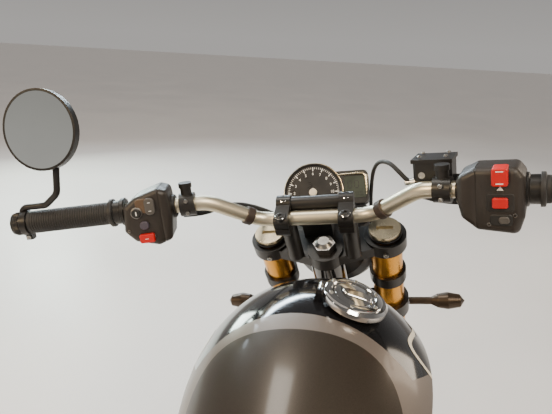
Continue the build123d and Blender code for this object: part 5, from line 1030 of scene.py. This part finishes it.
def lamp():
    """The headlamp's bezel, and the bright ring and dark divider in its lens."""
    dip = math.radians(6.8)
    where = MACHINE @ axes(steer_point(0, 112, 886), (1, 0, 0), (0, math.cos(dip), -math.sin(dip)))
    bezel = [(79.8, 20.5), (80.4, 22.2), (83, 23.4), (86.5, 22.4), (88.3, 19), (88.5, 8), (88.1, 7)]
    piece("lamp_bezel", lathe(bmesh.new(), bezel, 96), where, "satin_black", "steering")
    inner = lathe(bmesh.new(), [(30, 29.6), (30.4, 31), (34.6, 30.6), (35, 29)], 72)
    lathe(inner, [(13.5, 31), (13, 32.8), (9, 34), (0, 34.3)])
    piece("lamp_reflector_ring", inner, where, "chrome", "steering")
    outer = lathe(bmesh.new(), [(60, 24.4), (60.4, 25.9), (63.6, 24.8), (64, 23)], 72)
    for side in (-1, 1):
        bar = Matrix.Rotation(math.radians(side * 10.5), 4, "Y")
        slab(outer, [(side * 34, -3), (side * 60, -3), (side * 60, 3), (side * 34, 3)], 33.5, 36.2, bar)
    piece("lamp_divider", outer, where, "satin_black", "steering")


grips()
clamp_bolts()
switches()
switch_marks()
bar_ends()
dial()
display()
trim()
cord("front_brake_hose", "brake_hose", BRAKE_HOSE, 3.2)
cord("left_cable_loom", "left_loom", LEFT_LOOM, 4.5)
cord("right_cable_loom", "right_loom", RIGHT_LOOM, 4.5)
tread("front_tread", "front_tyre", FRONT_HUB, 293, 110, 57, 42, "front_wheel")
tread("rear_tread", "rear_tyre", REAR_HUB, 306, 150, 77, 40, "rear_wheel")
coil()
seat_seams(seat_cover())
pinstripe()
filler()
machine_bolts()
number_plate()
footrest_rubbers()
lamp()


# Camera on the upright machine, floor and soft light

# The backdrop's glow, at the horizon and above
HORIZON_GLOW, HIGH_GLOW = 0.5, 0.16
GLOW_START, GLOW_END = 0.02, 0.45
EYE = Vector((117.27, -164.25, 1189.78))
LOOK_RIGHT = Vector((0.96503, 0.22861, -0.12830))
LOOK_AHEAD = Vector((-0.25705, 0.92127, -0.29186))
LENS = 29.10
SENSOR = 36.0
FLOOR_HALF = 60


def camera():
    """The scene's camera."""
    data = bpy.data.cameras.new("camera")
    data.lens = LENS
    data.sensor_width = SENSOR
    data.sensor_fit = "HORIZONTAL"
    data.clip_start = 0.01
    obj = added("camera", data)
    ahead = LOOK_AHEAD.normalized()
    side = (LOOK_RIGHT - ahead * LOOK_RIGHT.dot(ahead)).normalized()
    turned = turned_up @ Matrix((side, side.cross(ahead), -ahead)).transposed()
    obj.matrix_world = Matrix.Translation(MACHINE @ EYE) @ turned.to_4x4()
    bpy.context.scene.camera = obj


def floor():
    """A plain pale floor."""
    mesh = bpy.data.meshes.new("floor")
    corners = [(x * FLOOR_HALF, y * FLOOR_HALF, 0) for x, y in ((-1, -1), (1, -1), (1, 1), (-1, 1))]
    mesh.from_pydata(corners, [], [(0, 1, 2, 3)])
    added("floor", mesh)
    mesh.materials.append(finish("floor", (0.7, 0.655, 0.62), 0.45, 0.0, 0.04, 0.8, 30, 0.05, edge=0))


def light(name, kind, power, colour):
    """A light that is still to be placed."""
    data = bpy.data.lights.new(name, kind)
    data.energy = power
    data.color = colour
    return data, added(name, data)


def area_light(name, place, aim, size, power, colour):
    """A rectangular light at one point, turned to another."""
    data, obj = light(name, "AREA", power, colour)
    data.shape = "RECTANGLE"
    data.size, data.size_y = size
    obj.location = place
    obj.rotation_euler = (Vector(aim) - Vector(place)).to_track_quat("-Z", "Y").to_euler()


camera()
floor()
area_light("left_window", (-3.2, 3.4, 1.7), (0, 0, 0.8), (0.7, 1.6), 90, (0.84, 1.0, 0.9))
area_light("strip_window", (-2.4, 3.7, 2.9), (0, 0, 0.8), (4.0, 0.34), 210, (0.76, 0.9, 1.0))
area_light("right_window", (3.2, 2.6, 2.6), (0, 0, 0.8), (1.0, 2.4), 48, (1.0, 0.85, 0.68))
area_light("ceiling", (0.9, -1.6, 3.7), (0, 0.2, 0.6), (1.2, 1.2), 85, (1.0, 0.92, 0.8))
area_light("warm_lamp", (-2.0, -1.9, 2.4), (0, 0.1, 0.8), (0.4, 0.4), 60, (1.0, 0.74, 0.44))
area_light("overhead", (-2.3, 0.7, 5.8), (0, 0.3, 0.0), (1.5, 1.5), 120, (1.0, 0.94, 0.84))
area_light("right_lamp", (1.7, -1.5, 2.8), (0, 0.1, 0.8), (0.3, 0.3), 26, (1.0, 0.76, 0.48))
sun, sky = light("sky", "SUN", 1.45, (1.0, 0.97, 0.93))
sun.angle = math.radians(64)
sky.rotation_euler = (math.radians(-28), math.radians(-22), 0)
sky.visible_glossy = False

world = bpy.data.worlds.new("studio")
bpy.context.scene.world = world
world.use_nodes = True
backdrop = world.node_tree
direction = node_of(backdrop, "ShaderNodeTexCoord").outputs["Generated"]
height = node_of(backdrop, "ShaderNodeSeparateXYZ", {"Vector": direction}).outputs["Z"]
glow = spread(backdrop, height, HORIZON_GLOW, HIGH_GLOW, GLOW_START, GLOW_END)
plug(backdrop, backdrop.nodes["Background"], {"Color": (0.86, 0.83, 0.8, 1), "Strength": glow})
